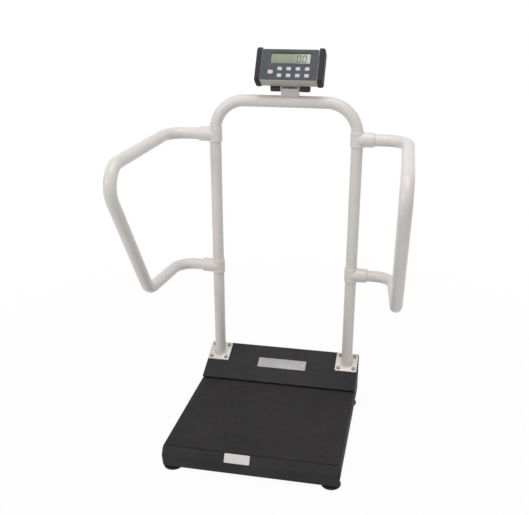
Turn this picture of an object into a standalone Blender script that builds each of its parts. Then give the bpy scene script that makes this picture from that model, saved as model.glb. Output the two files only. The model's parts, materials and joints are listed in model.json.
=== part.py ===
# Platform scale with a tubular post hoop, two handrails and a tilting display.
# Units are metres. +Z is up, the user steps on from -Y, the display faces -Y.
# The origin is on the floor, under the centre of the overall box.
import math

import bmesh
import bpy
from mathutils import Vector

for old in list(bpy.data.objects):
    bpy.data.objects.remove(old, do_unlink=True)

# Fits
GAP = 0.0003
CUT_OVERRUN = 0.004
SCREW_CLEARANCE = 0.0004

# Base, overall
BASE_WIDTH = 0.610
BASE_DEPTH = 0.678
SKIRT_CLEARANCE = 0.015
SHOULDER_HEIGHT = 0.056
SHOULDER_INSET = 0.018
PLATFORM_HEIGHT = 0.090
TRAY_WALL = 0.003
TRAY_EDGE_RADIUS = 0.004
MAT_THICKNESS = 0.003
MAT_SIDE_INSET = 0.005
MAT_CORNER_RADIUS = 0.006
FRONT_Y = -BASE_DEPTH / 2
REAR_Y = BASE_DEPTH / 2
TRAY_TOP = PLATFORM_HEIGHT - MAT_THICKNESS - GAP

# Rear housing
HOUSING_LIP_DEPTH = 0.020
HOUSING_DEPTH = 0.172
HOUSING_FRONT = REAR_Y - HOUSING_DEPTH
LIP_GAP = 0.004
LIP_THICKNESS = 0.003
HOUSING_REAR_HEIGHT = 0.170
HOUSING_WALL = 0.003
HOUSING_EDGE_RADIUS = 0.003
LIP_BOTTOM = PLATFORM_HEIGHT + LIP_GAP
LIP_TOP = LIP_BOTTOM + LIP_THICKNESS
SLOPE_ANGLE = math.atan2(HOUSING_REAR_HEIGHT - LIP_TOP, HOUSING_DEPTH)

# Inner frame
FRAME_WIDTH = 0.040
FRAME_HEIGHT = 0.020
FRAME_WALL = 0.002
FRAME_FRONT_INSET = 0.026
FRAME_REAR_INSET = 0.008
FRAME_SIDE_INSET = 0.010
CROSS_MARGIN = 0.080
FRAME_TOP = TRAY_TOP - TRAY_WALL - GAP
FRAME_BOTTOM = FRAME_TOP - FRAME_HEIGHT
RAIL_X = BASE_WIDTH / 2 - FRAME_SIDE_INSET - FRAME_WIDTH / 2

# Load cells and feet
CELL_LENGTH = 0.130
CELL_WIDTH = 0.030
CELL_THICKNESS = 0.022
CELL_PAD_HEIGHT = 0.004
CELL_PAD_LENGTH = 0.050
CELL_SLOT_RADIUS = 0.007
CELL_SLOT_LENGTH = 0.026
FOOT_SIDE_INSET = 0.029
FOOT_FRONT_INSET = 0.0325
FOOT_REAR_INSET = 0.104
FOOT_RADIUS = 0.0325
FOOT_HEIGHT = 0.012
FOOT_BEVEL = 0.0025
FOOT_HUB_RADIUS = 0.013
FOOT_SOCKET_RADIUS = 0.0075
FOOT_SOCKET_FLOOR = 0.005
STUD_RADIUS = 0.005
STUD_HEX_RADIUS = 0.0085
STUD_HEX_HEIGHT = 0.007
STUD_HEX_LIFT = 0.004
STUD_CHAMFER = 0.001
FOOT_X = BASE_WIDTH / 2 - FOOT_SIDE_INSET
CELL_TOP = FRAME_BOTTOM - GAP - CELL_PAD_HEIGHT
CELL_BOTTOM = CELL_TOP - CELL_THICKNESS
CELL_FREE_LENGTH = 0.015

# Post brackets, flanges and bolts
BRACKET_WIDTH = 0.080
BRACKET_WALL = 0.004
BRACKET_LENGTH = 0.092
FLANGE_WIDTH = 0.086
FLANGE_LENGTH = 0.092
FLANGE_THICKNESS = 0.006
FLANGE_CORNER_RADIUS = 0.006
FLANGE_BOLT_INSET = 0.013
FLANGE_BOLT_RADIUS = 0.005
FLANGE_BOLT_HEAD_RADIUS = 0.0075
FLANGE_BOLT_HEAD = 0.006
BOLT_PLATE_THICKNESS = 0.004
BOLT_PLATE_MARGIN = 0.001

# Tubes
TUBE_RADIUS = 0.0212
TUBE_WALL = 0.0026
TUBE_SIDES = 16
BEND_STEPS = 6
POST_SIDE_INSET = 0.045
POST_REAR_INSET = 0.0485
POST_X = BASE_WIDTH / 2 - POST_SIDE_INSET
POST_Y = REAR_Y - POST_REAR_INSET
HOOP_HEIGHT = 1.165
HOOP_BEND = 0.112

# Handrails, as distances from the post that carries them
RAIL_UPPER_DROP = 0.124
RAIL_UPPER_HEIGHT = HOOP_HEIGHT - RAIL_UPPER_DROP
RAIL_LOWER_HEIGHT = 0.528
RAIL_UPPER_OUT = 0.179
RAIL_LOWER_OUT = 0.157
RAIL_FRONT_UPPER_OUT = 0.195
RAIL_FRONT_LOWER_OUT = 0.183
RAIL_UPPER_REACH = 0.603
RAIL_LOWER_REACH = 0.294
RAIL_UPPER_FALL = 0.014
RAIL_LOWER_FALL = 0.003
RAIL_BEND = 0.075
RAIL_START = 0.027

# Sleeves that hold the rails on the posts
SLEEVE_WALL = 0.0036
SLEEVE_HEIGHT = 0.054
SLEEVE_SOCKET_REACH = 0.062
SLEEVE_SIDES = 20
SLEEVE_FLARE = 0.0017
SLEEVE_LIP = 0.0043
SLEEVE_RADIUS = TUBE_RADIUS + GAP + SLEEVE_WALL

# Neck that carries the display
NECK_OFFSET = 0.017
NECK_WIDTH = 0.062
NECK_DEPTH = 0.028
NECK_WALL = 0.003
NECK_EAR_RADIUS = 0.0095
NECK_EAR_START = math.radians(25.0)
NECK_FRONT_DROP = 0.0005
NECK_REAR_RISE = 0.004
PIVOT_RISE = 0.046
PIVOT_Z = HOOP_HEIGHT + PIVOT_RISE
PIVOT_HOLE_RADIUS = 0.0044
DISPLAY_TILT = math.radians(31.0)

# Knobs and yoke
KNOB_RADIUS = 0.0125
KNOB_LENGTH = 0.036
KNOB_FLUTE_SHARE = 0.90
KNOB_LOBES = 8
KNOB_BEVEL = 0.002
KNOB_STUD_RADIUS = 0.004
KNOB_STUD_PROUD = 0.0015
YOKE_WALL = 0.003
YOKE_HEIGHT = 0.020
YOKE_EAR_RADIUS = 0.0115
YOKE_EAR_START = math.radians(60.0)

# Display, measured from the tilt pivot along the display's own axes
FACE_FORWARD = 0.0675
FACE_BOTTOM = -0.001
FACE_HEIGHT = 0.114
SHELL_WIDTH = 0.201
SHELL_DEPTH = 0.051
SHELL_WALL = 0.0025
SHELL_CORNER_RADIUS = 0.006
SHELL_RIM = 0.006
PANEL_THICKNESS = 0.0025
PANEL_MARGIN = 0.0015
CAP_THICKNESS = 0.019
CAP_OVERHANG_TOP = 0.009
CAP_OVERHANG_FRONT = 0.004
CAP_OVERHANG_REAR = 0.0025
CAP_OVERHANG_BOTTOM = 0.005
CAP_CORNER_RADIUS = 0.014
CAP_ROUNDING = 0.007
CAP_ROUNDING_SHARE = 0.3
LCD_WIDTH = 0.141
LCD_HEIGHT = 0.041
LCD_BOTTOM = 0.0595
LCD_SHIFT = 0.002
LCD_BEZEL = 0.004
BOARD_THICKNESS = 0.0016
BOARD_SETBACK = 0.0115
BOARD_SIDE_MARGIN = 0.011
BOARD_EDGE_MARGIN = 0.0105
BOARD_WIDTH = SHELL_WIDTH - 2 * BOARD_SIDE_MARGIN
BOARD_HEIGHT = FACE_HEIGHT - 2 * BOARD_EDGE_MARGIN
STANDOFF_RADIUS = 0.003
STANDOFF_INSET = 0.007
KEY_COLUMN_PITCH = 0.032
KEY_ROW_PITCH = 0.0243
KEY_CENTRE_HEIGHT = 0.0280
KEY_COLUMN_SHIFT = 0.016
KEY_WIDTH = 0.016
KEY_HEIGHT = 0.0125
WIDE_KEY_WIDTH = 0.018
WIDE_KEY_HEIGHT = 0.014
KEY_CORNER_RADIUS = 0.003
KEY_PROUD = 0.0016
KEY_FLANGE = 0.0015
KEY_FLANGE_THICKNESS = 0.0015
KEY_TRAVEL = 0.0008
KEY_ROUNDING = 0.0006
BATTERY_WIDTH = 0.110
BATTERY_HEIGHT = 0.060
BATTERY_DEPTH = 0.020
BATTERY_BOTTOM = 0.036
COVER_MARGIN = 0.009
COVER_THICKNESS = 0.0025

# Signal cable and junction box
CABLE_RADIUS = 0.003
CABLE_PORT_RADIUS = 0.005
CABLE_STEPS = 4
GLAND_RADIUS = 0.0065
GLAND_HEIGHT = 0.006
GLAND_LIFT = 0.009
BOX_WIDTH = 0.120
BOX_DEPTH = 0.070
BOX_HEIGHT = 0.030
BOX_EDGE_RADIUS = 0.003

# Bare plates
FRONT_PLATE_WIDTH = 0.088
FRONT_PLATE_HEIGHT = 0.033
FRONT_PLATE_X = -0.042
HOUSING_PLATE_WIDTH = 0.194
HOUSING_PLATE_HEIGHT = 0.048
HOUSING_PLATE_X = 0.003
HOUSING_PLATE_ALONG = 0.097
PLATE_THICKNESS = 0.001
PLATE_CORNER_RADIUS = 0.003

SMOOTH_ANGLE = math.radians(35.0)
STRAIGHT_SHARE = 1e-6
ROUND_SIDES = 12
FOOT_SIDES = 24
QUARTER = math.pi / 2


def make_material(name, color, roughness, metallic):
    material = bpy.data.materials.new(name)
    material.use_nodes = True
    shader = material.node_tree.nodes["Principled BSDF"]
    shader.inputs["Base Color"].default_value = (*color, 1.0)
    shader.inputs["Roughness"].default_value = roughness
    shader.inputs["Metallic"].default_value = metallic
    return material


MATERIALS = {
    "black_tray": make_material("black_tray", (0.045, 0.045, 0.048), 0.55, 0.0),
    "black_mat": make_material("black_mat", (0.030, 0.030, 0.032), 0.80, 0.0),
    "cream_paint": make_material("cream_paint", (0.66, 0.64, 0.60), 0.35, 0.0),
    "flange_steel": make_material("flange_steel", (0.62, 0.58, 0.54), 0.35, 0.8),
    "dark_steel": make_material("dark_steel", (0.09, 0.09, 0.09), 0.40, 0.9),
    "frame_steel": make_material("frame_steel", (0.20, 0.21, 0.22), 0.50, 0.7),
    "aluminium": make_material("aluminium", (0.70, 0.70, 0.68), 0.35, 0.9),
    "zinc_steel": make_material("zinc_steel", (0.62, 0.62, 0.60), 0.30, 1.0),
    "black_rubber": make_material("black_rubber", (0.025, 0.025, 0.025), 0.85, 0.0),
    "shell_beige": make_material("shell_beige", (0.58, 0.55, 0.50), 0.40, 0.4),
    "panel_slate": make_material("panel_slate", (0.075, 0.095, 0.105), 0.45, 0.0),
    "lcd_green": make_material("lcd_green", (0.43, 0.49, 0.36), 0.25, 0.0),
    "key_grey": make_material("key_grey", (0.72, 0.72, 0.78), 0.50, 0.0),
    "board_green": make_material("board_green", (0.02, 0.16, 0.07), 0.50, 0.0),
    "battery_grey": make_material("battery_grey", (0.13, 0.13, 0.14), 0.60, 0.0),
    "knob_black": make_material("knob_black", (0.015, 0.015, 0.015), 0.50, 0.0),
    "cable_black": make_material("cable_black", (0.02, 0.02, 0.02), 0.60, 0.0),
    "plate_white": make_material("plate_white", (0.80, 0.79, 0.77), 0.50, 0.0),
    "plate_silver": make_material("plate_silver", (0.72, 0.72, 0.71), 0.35, 0.6),
}


def add_object(name, mesh, material, parent=None):
    thing = bpy.data.objects.new(name, mesh)
    bpy.context.scene.collection.objects.link(thing)
    if material:
        mesh.materials.clear()
        mesh.materials.append(MATERIALS[material])
    if parent:
        thing.parent = parent
    return thing


def add_empty(name, location, tilt=0.0):
    empty = bpy.data.objects.new(name, None)
    bpy.context.scene.collection.objects.link(empty)
    empty.location = location
    empty.rotation_euler = (tilt, 0.0, 0.0)
    return empty


def mesh_from(name, build):
    form = bmesh.new()
    build(form)
    bmesh.ops.recalc_face_normals(form, faces=form.faces)
    mesh = bpy.data.meshes.new(name)
    form.to_mesh(mesh)
    form.free()
    mesh.shade_smooth()
    mesh.set_sharp_from_angle(angle=SMOOTH_ANGLE)
    return mesh


def loft(form, loops):
    rings = [[form.verts.new(point) for point in loop] for loop in loops]
    count = len(rings[0])
    for lower, upper in zip(rings, rings[1:]):
        for index in range(count):
            after = (index + 1) % count
            form.faces.new((lower[index], lower[after], upper[after], upper[index]))
    form.faces.new(rings[0])
    form.faces.new(rings[-1])


def lofted(name, loops, material, parent=None):
    mesh = mesh_from(name, lambda form: loft(form, loops))
    return add_object(name, mesh, material, parent)


def circle(radius, sides, phase=0.0):
    step = 2 * math.pi / sides
    return [(radius * math.cos(phase + step * i), radius * math.sin(phase + step * i))
            for i in range(sides)]


def rounded_rectangle(width, height, radius, steps=3):
    points = []
    corners = ((1, 1, 0), (-1, 1, 1), (-1, -1, 2), (1, -1, 3))
    for side_x, side_y, turn in corners:
        centre_x = side_x * (width / 2 - radius)
        centre_y = side_y * (height / 2 - radius)
        for step in range(steps + 1):
            angle = QUARTER * (turn + step / steps)
            points.append((centre_x + radius * math.cos(angle),
                           centre_y + radius * math.sin(angle)))
    return points


def turned(name, profile, sides, material, parent=None):
    loops = [[(x, y, z) for x, y in circle(radius, sides)] for radius, z in profile]
    return lofted(name, loops, material, parent)


def block(name, size, centre, material=None, parent=None):
    half_x, half_y = size[0] / 2, size[1] / 2
    flat = ((-half_x, -half_y), (half_x, -half_y), (half_x, half_y), (-half_x, half_y))
    loops = [[(centre[0] + x, centre[1] + y, centre[2] + z) for x, y in flat]
             for z in (-size[2] / 2, size[2] / 2)]
    return lofted(name, loops, material, parent)


def extruded_along_x(name, outline, left, right, material=None, parent=None):
    loops = [[(x, y, z) for y, z in outline] for x in (left, right)]
    return lofted(name, loops, material, parent)


def cylinder_along(name, radius, start, end, sides=ROUND_SIDES, parent=None):
    start = Vector(start)
    end = Vector(end)
    turn = (end - start).to_track_quat("Z", "Y").to_matrix()
    loops = []
    for base in (start, end):
        loops.append([base + turn @ Vector((x, y, 0.0)) for x, y in circle(radius, sides)])
    return lofted(name, loops, None, parent)


def as_cutter(thing):
    thing.hide_render = True
    thing.display_type = "WIRE"
    return thing


def combine(thing, others, operation):
    for other in others:
        as_cutter(other)
        change = thing.modifiers.new(operation.lower(), "BOOLEAN")
        change.operation = operation
        change.solver = "EXACT"
        change.object = other


def cut(thing, cutters):
    combine(thing, cutters, "DIFFERENCE")


def join(thing, additions):
    combine(thing, additions, "UNION")


def bent_path(corners, radii, steps):
    points = [Vector(corners[0])]
    for index in range(1, len(corners) - 1):
        here = Vector(corners[index])
        back = (Vector(corners[index - 1]) - here).normalized()
        ahead = (Vector(corners[index + 1]) - here).normalized()
        angle = back.angle(ahead)
        reach = radii[index - 1] / math.tan(angle / 2)
        middle = (back + ahead).normalized()
        centre = here + middle * (radii[index - 1] / math.sin(angle / 2))
        first = here + back * reach - centre
        last = here + ahead * reach - centre
        sweep = first.angle(last)
        for step in range(steps + 1):
            share = step / steps
            blend = (first * math.sin((1 - share) * sweep) + last * math.sin(share * sweep))
            points.append(centre + blend / math.sin(sweep))
    points.append(Vector(corners[-1]))
    return points


def tube_loops(points, radius, sides):
    loops = []
    count = len(points)
    up = None
    for index in range(count):
        before = points[max(index - 1, 0)]
        after = points[min(index + 1, count - 1)]
        along = (after - before).normalized()
        if up is None:
            up = along.orthogonal().normalized()
        up = (up - along * up.dot(along)).normalized()
        side = along.cross(up)
        widen = 1.0
        if 0 < index < count - 1:
            half = (points[index] - before).angle(after - points[index]) / 2
            widen = 1.0 / math.cos(half)
        ring = []
        bend = ((points[index] - before).normalized() - (after - points[index]).normalized())
        bend = bend.normalized() if bend.length > STRAIGHT_SHARE else up
        for x, y in circle(radius, sides):
            offset = up * x + side * y
            offset += bend * (offset.dot(bend) * (widen - 1.0))
            ring.append(points[index] + offset)
        loops.append(ring)
    return loops


def hollow_tube(name, points, radius, wall, sides, material):
    outer = tube_loops(points, radius, sides)
    inner = tube_loops(points, radius - wall, sides)

    def build(form):
        outside = [[form.verts.new(point) for point in loop] for loop in outer]
        inside = [[form.verts.new(point) for point in loop] for loop in inner]
        for index in range(sides):
            after = (index + 1) % sides
            for low, high in zip(outside, outside[1:]):
                form.faces.new((low[index], low[after], high[after], high[index]))
            for low, high in zip(inside, inside[1:]):
                form.faces.new((low[after], low[index], high[index], high[after]))
            for edge in (0, -1):
                form.faces.new((outside[edge][index], outside[edge][after],
                                inside[edge][after], inside[edge][index]))

    return add_object(name, mesh_from(name, build), material)


SLOPE = add_empty("slope_frame", (0.0, HOUSING_FRONT, LIP_TOP), SLOPE_ANGLE)
PIVOT = add_empty("display_pivot", (NECK_OFFSET, POST_Y, PIVOT_Z), -DISPLAY_TILT)
POST_ALONG = (POST_Y - HOUSING_FRONT) / math.cos(SLOPE_ANGLE)
FLANGE_TOP = GAP + FLANGE_THICKNESS
SHELL_FRONT = -FACE_FORWARD + PANEL_THICKNESS + GAP
SHELL_REAR = SHELL_FRONT + SHELL_DEPTH
YOKE_REAR = SHELL_REAR + GAP + YOKE_WALL


def slope_height(y, below=0.0):
    rise = (y - HOUSING_FRONT) * math.tan(SLOPE_ANGLE)
    return LIP_TOP + rise - below / math.cos(SLOPE_ANGLE)


def front_outline(front, inset, top, bottom, rear, shoulder):
    return [(front, bottom), (rear, bottom), (rear, top), (front + inset, top),
            (front, shoulder)]


def make_tray():
    rear = HOUSING_FRONT + HOUSING_LIP_DEPTH - GAP
    outline = front_outline(FRONT_Y, SHOULDER_INSET, TRAY_TOP, SKIRT_CLEARANCE, rear,
                            SHOULDER_HEIGHT)
    half = BASE_WIDTH / 2
    tray = extruded_along_x("platform_tray", outline, -half, half, "black_tray")
    inner = front_outline(FRONT_Y + TRAY_WALL, SHOULDER_INSET, TRAY_TOP - TRAY_WALL,
                          SKIRT_CLEARANCE - CUT_OVERRUN, rear + CUT_OVERRUN,
                          SHOULDER_HEIGHT - TRAY_WALL)
    rounding = tray.modifiers.new("edge_rounding", "BEVEL")
    rounding.width = TRAY_EDGE_RADIUS
    rounding.segments = 2
    rounding.limit_method = "WEIGHT"
    mark_bevel_edges(tray, lambda a, b: not near(a.y, rear) and not near(b.y, rear)
                     and not (near(a.z, SKIRT_CLEARANCE) and near(b.z, SKIRT_CLEARANCE))
                     or near(a.z, TRAY_TOP) and near(b.z, TRAY_TOP) and near(a.x, b.x))
    cut(tray, [extruded_along_x("tray_hollow", inner, -half + TRAY_WALL, half - TRAY_WALL)])


def near(a, b):
    return abs(a - b) < GAP / 10


def mark_bevel_edges(thing, chosen):
    mesh = thing.data
    weights = mesh.attributes.new("bevel_weight_edge", "FLOAT", "EDGE")
    for edge in mesh.edges:
        first = mesh.vertices[edge.vertices[0]].co
        second = mesh.vertices[edge.vertices[1]].co
        weights.data[edge.index].value = 1.0 if chosen(first, second) else 0.0


def make_mat():
    length = HOUSING_FRONT - GAP - (FRONT_Y + SHOULDER_INSET)
    centre_y = FRONT_Y + SHOULDER_INSET + length / 2
    outline = rounded_rectangle(BASE_WIDTH - 2 * MAT_SIDE_INSET, length, MAT_CORNER_RADIUS)
    loops = [[(x, centre_y + y, z) for x, y in outline]
             for z in (TRAY_TOP + GAP, PLATFORM_HEIGHT)]
    lofted("platform_mat", loops, "black_mat")


def make_housing():
    seam = HOUSING_FRONT + HOUSING_LIP_DEPTH
    half = BASE_WIDTH / 2
    outline = [(seam, SKIRT_CLEARANCE), (REAR_Y, SKIRT_CLEARANCE), (REAR_Y, HOUSING_REAR_HEIGHT),
               (HOUSING_FRONT, LIP_TOP), (HOUSING_FRONT, LIP_BOTTOM), (seam, LIP_BOTTOM)]
    housing = extruded_along_x("rear_housing", outline, -half, half, "black_tray")
    rounding = housing.modifiers.new("edge_rounding", "BEVEL")
    rounding.width = HOUSING_EDGE_RADIUS
    rounding.segments = 2
    rounding.limit_method = "WEIGHT"
    top_y = HOUSING_FRONT
    mark_bevel_edges(housing, lambda a, b: a.z > LIP_BOTTOM + GAP and b.z > LIP_BOTTOM + GAP
                     and not (near(a.y, top_y) and near(b.y, top_y))
                     or near(a.y, REAR_Y) and near(b.y, REAR_Y) and near(a.x, b.x))
    inner_rear = REAR_Y - HOUSING_WALL
    inner_front = seam + HOUSING_WALL
    low = SKIRT_CLEARANCE - CUT_OVERRUN
    ceiling = LIP_BOTTOM - LIP_THICKNESS
    inner = [(seam - CUT_OVERRUN, low), (inner_rear, low),
             (inner_rear, slope_height(inner_rear, HOUSING_WALL)),
             (inner_front, slope_height(inner_front, HOUSING_WALL)),
             (inner_front, ceiling), (seam - CUT_OVERRUN, ceiling)]
    cutters = [extruded_along_x("housing_hollow", inner, -half + HOUSING_WALL,
                                half - HOUSING_WALL)]
    for side in (-1, 1):
        cutters += bolt_cutters("housing", side)
        cutters.append(cable_cutter("housing", side))
    cut(housing, cutters)


def bolt_places(side):
    reach_x = FLANGE_WIDTH / 2 - FLANGE_BOLT_INSET
    reach_y = FLANGE_LENGTH / 2 - FLANGE_BOLT_INSET
    return [(side * POST_X + i * reach_x, POST_ALONG + j * reach_y)
            for i in (-1, 1) for j in (-1, 1)]


def bolt_cutters(label, side):
    cutters = []
    depth = HOUSING_WALL + GAP + BRACKET_WALL + CUT_OVERRUN
    for number, (x, along) in enumerate(bolt_places(side)):
        name = f"{label}_bolt_hole_{side}_{number}"
        cutters.append(cylinder_along(name, FLANGE_BOLT_RADIUS + SCREW_CLEARANCE,
                                      (x, along, -depth), (x, along, FLANGE_TOP + CUT_OVERRUN),
                                      parent=SLOPE))
    return cutters


def cable_cutter(label, side):
    low = slope_height(POST_Y) - HOUSING_WALL - BRACKET_WALL - TUBE_RADIUS
    high = slope_height(POST_Y) + FLANGE_TOP + TUBE_RADIUS
    return cylinder_along(f"{label}_cable_hole_{side}", CABLE_PORT_RADIUS,
                          (side * POST_X, POST_Y, low), (side * POST_X, POST_Y, high))


def make_side_rail(name, side):
    front = FRONT_Y + FRAME_FRONT_INSET
    rear = REAR_Y - FRAME_REAR_INSET
    size = (FRAME_WIDTH, rear - front, FRAME_HEIGHT)
    centre = (side * RAIL_X, (front + rear) / 2, (FRAME_TOP + FRAME_BOTTOM) / 2)
    rail = block(name, size, centre, "frame_steel")
    hollow = block(f"{name}_hollow", (FRAME_WIDTH - 2 * FRAME_WALL, size[1] + 2 * CUT_OVERRUN,
                                      FRAME_HEIGHT - 2 * FRAME_WALL), centre)
    cut(rail, [hollow])


def make_cross_member(name, y):
    half = RAIL_X - FRAME_WIDTH / 2 - GAP
    centre = (0.0, y, (FRAME_TOP + FRAME_BOTTOM) / 2)
    member = block(name, (2 * half, FRAME_WIDTH, FRAME_HEIGHT), centre, "frame_steel")
    hollow = block(f"{name}_hollow", (2 * (half + CUT_OVERRUN), FRAME_WIDTH - 2 * FRAME_WALL,
                                      FRAME_HEIGHT - 2 * FRAME_WALL), centre)
    cut(member, [hollow])


def cross_places():
    return (FRONT_Y + CROSS_MARGIN, 0.0, REAR_Y - CROSS_MARGIN)


def foot_y(end):
    if end < 0:
        return FRONT_Y + FOOT_FRONT_INSET
    return REAR_Y - FOOT_REAR_INSET


def make_load_cell(name, side, end):
    free_end = foot_y(end) + end * CELL_FREE_LENGTH
    root = free_end - end * CELL_LENGTH
    centre_y = (free_end + root) / 2
    x = side * FOOT_X
    cell = block(name, (CELL_WIDTH, CELL_LENGTH, CELL_THICKNESS),
                 (x, centre_y, (CELL_TOP + CELL_BOTTOM) / 2), "aluminium")
    pad_y = root + end * CELL_PAD_LENGTH / 2
    pad_base = CELL_TOP - CELL_PAD_HEIGHT
    pad = block(f"{name}_pad", (CELL_WIDTH, CELL_PAD_LENGTH, 2 * CELL_PAD_HEIGHT),
                (x, pad_y, pad_base + CELL_PAD_HEIGHT))
    join(cell, [pad])
    slot = [(centre_y + y, (CELL_TOP + CELL_BOTTOM) / 2 + z)
            for y, z in rounded_rectangle(CELL_SLOT_LENGTH, 2 * CELL_SLOT_RADIUS,
                                          CELL_SLOT_RADIUS)]
    reach = CELL_WIDTH / 2 + CUT_OVERRUN
    cutters = [extruded_along_x(f"{name}_slot", slot, x - reach, x + reach)]
    low = CELL_BOTTOM - CUT_OVERRUN
    high = FRAME_BOTTOM + CUT_OVERRUN
    cutters.append(cylinder_along(f"{name}_stud_hole", STUD_RADIUS + GAP,
                                  (x, foot_y(end), low), (x, foot_y(end), high)))
    cut(cell, cutters)


def make_foot(label, side, end):
    pad_frame = add_empty(f"{label}_frame", (side * FOOT_X, foot_y(end), 0.0))
    shoulder = (FOOT_RADIUS + FOOT_HUB_RADIUS) / 2
    profile = ((FOOT_RADIUS - FOOT_BEVEL, 0.0), (FOOT_RADIUS, FOOT_BEVEL),
               (FOOT_RADIUS, FOOT_HEIGHT - 2 * FOOT_BEVEL), (shoulder, FOOT_HEIGHT - FOOT_BEVEL),
               (FOOT_HUB_RADIUS, FOOT_HEIGHT), (FOOT_SOCKET_RADIUS, FOOT_HEIGHT),
               (FOOT_SOCKET_RADIUS, FOOT_SOCKET_FLOOR))
    turned(f"foot_pad_{label}", profile, FOOT_SIDES, "black_rubber", pad_frame)
    ball = FOOT_SOCKET_RADIUS - GAP
    foot = FOOT_SOCKET_FLOOR + GAP
    hex_low = FOOT_HEIGHT + STUD_HEX_LIFT
    hex_high = hex_low + STUD_HEX_HEIGHT
    top = CELL_TOP + STUD_CHAMFER
    stud = ((ball - STUD_CHAMFER, foot), (ball, foot + STUD_CHAMFER),
            (ball, FOOT_HEIGHT), (STUD_RADIUS, FOOT_HEIGHT + STUD_CHAMFER),
            (STUD_RADIUS, hex_low), (STUD_HEX_RADIUS, hex_low), (STUD_HEX_RADIUS, hex_high),
            (STUD_RADIUS, hex_high), (STUD_RADIUS, top - STUD_CHAMFER),
            (STUD_RADIUS - STUD_CHAMFER, top))
    turned(f"foot_stud_{label}", stud, ROUND_SIDES, "zinc_steel", pad_frame)


def make_bracket(name, side):
    x = side * POST_X
    low_y = POST_Y - BRACKET_LENGTH / 2
    high_y = min(POST_Y + BRACKET_LENGTH / 2, REAR_Y - HOUSING_WALL - GAP)
    below = HOUSING_WALL + GAP
    base = FRAME_TOP + GAP
    outer = [(low_y, base), (high_y, base), (high_y, slope_height(high_y, below)),
             (low_y, slope_height(low_y, below))]
    wall = BRACKET_WALL
    inner_low, inner_high = low_y + wall, high_y - wall
    inner = [(inner_low, base + wall), (inner_high, base + wall),
             (inner_high, slope_height(inner_high, below + wall)),
             (inner_low, slope_height(inner_low, below + wall))]
    half = BRACKET_WIDTH / 2
    bracket = extruded_along_x(name, outer, x - half, x + half, "frame_steel")
    cutters = [extruded_along_x(f"{name}_hollow", inner, x - half - CUT_OVERRUN,
                                x + half + CUT_OVERRUN)]
    cutters += bolt_cutters(name, side)
    cutters.append(cable_cutter(name, side))
    cut(bracket, cutters)


def make_flange(name, side):
    outline = rounded_rectangle(FLANGE_WIDTH, FLANGE_LENGTH, FLANGE_CORNER_RADIUS)
    loops = [[(side * POST_X + x, POST_ALONG + y, z) for x, y in outline]
             for z in (GAP, FLANGE_TOP)]
    flange = lofted(name, loops, "flange_steel", SLOPE)
    cut(flange, bolt_cutters(name, side) + [cable_cutter(name, side)])


def make_bolt_plate(name, side):
    top = -(HOUSING_WALL + GAP + BRACKET_WALL + GAP)
    trim = 2 * (FLANGE_BOLT_INSET - FLANGE_BOLT_RADIUS - BOLT_PLATE_MARGIN)
    outline = rounded_rectangle(FLANGE_WIDTH - trim, FLANGE_LENGTH - trim,
                                FLANGE_CORNER_RADIUS)
    loops = [[(side * POST_X + x, POST_ALONG + y, z) for x, y in outline]
             for z in (top - BOLT_PLATE_THICKNESS, top)]
    plate = lofted(name, loops, "dark_steel", SLOPE)
    seat = FLANGE_TOP + GAP
    bolts = []
    for number, (x, along) in enumerate(bolt_places(side)):
        profile = ((FLANGE_BOLT_RADIUS, top - BOLT_PLATE_THICKNESS / 2),
                   (FLANGE_BOLT_RADIUS, seat), (FLANGE_BOLT_HEAD_RADIUS, seat),
                   (FLANGE_BOLT_HEAD_RADIUS, seat + FLANGE_BOLT_HEAD))
        loops = [[(x + i, along + j, z) for i, j in circle(radius, ROUND_SIDES)]
                 for radius, z in profile]
        bolts.append(lofted(f"{name}_bolt_{number}", loops, None, SLOPE))
    join(plate, bolts)
    cut(plate, [cable_cutter(name, side)])


def hoop_path():
    foot = slope_height(POST_Y) - TUBE_RADIUS
    corners = ((-POST_X, POST_Y, foot), (-POST_X, POST_Y, HOOP_HEIGHT),
               (POST_X, POST_Y, HOOP_HEIGHT), (POST_X, POST_Y, foot))
    return bent_path(corners, (HOOP_BEND, HOOP_BEND), BEND_STEPS + 2)


def make_hoop():
    hoop = hollow_tube("post_hoop", hoop_path(), TUBE_RADIUS, TUBE_WALL, TUBE_SIDES,
                       "cream_paint")
    cutters = []
    seat = FLANGE_TOP + GAP
    depth = 4 * TUBE_RADIUS
    for side in (-1, 1):
        size = (depth, depth, depth)
        centre = (side * POST_X, POST_ALONG, seat - depth / 2)
        cutters.append(block(f"hoop_foot_cut_{side}", size, centre, parent=SLOPE))
    cutters.append(cylinder_along("hoop_cable_port", CABLE_PORT_RADIUS,
                                  (NECK_OFFSET, POST_Y, HOOP_HEIGHT + TUBE_RADIUS / 2),
                                  (NECK_OFFSET, POST_Y, HOOP_HEIGHT + TUBE_RADIUS
                                   + CUT_OVERRUN)))
    cut(hoop, cutters)


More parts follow.
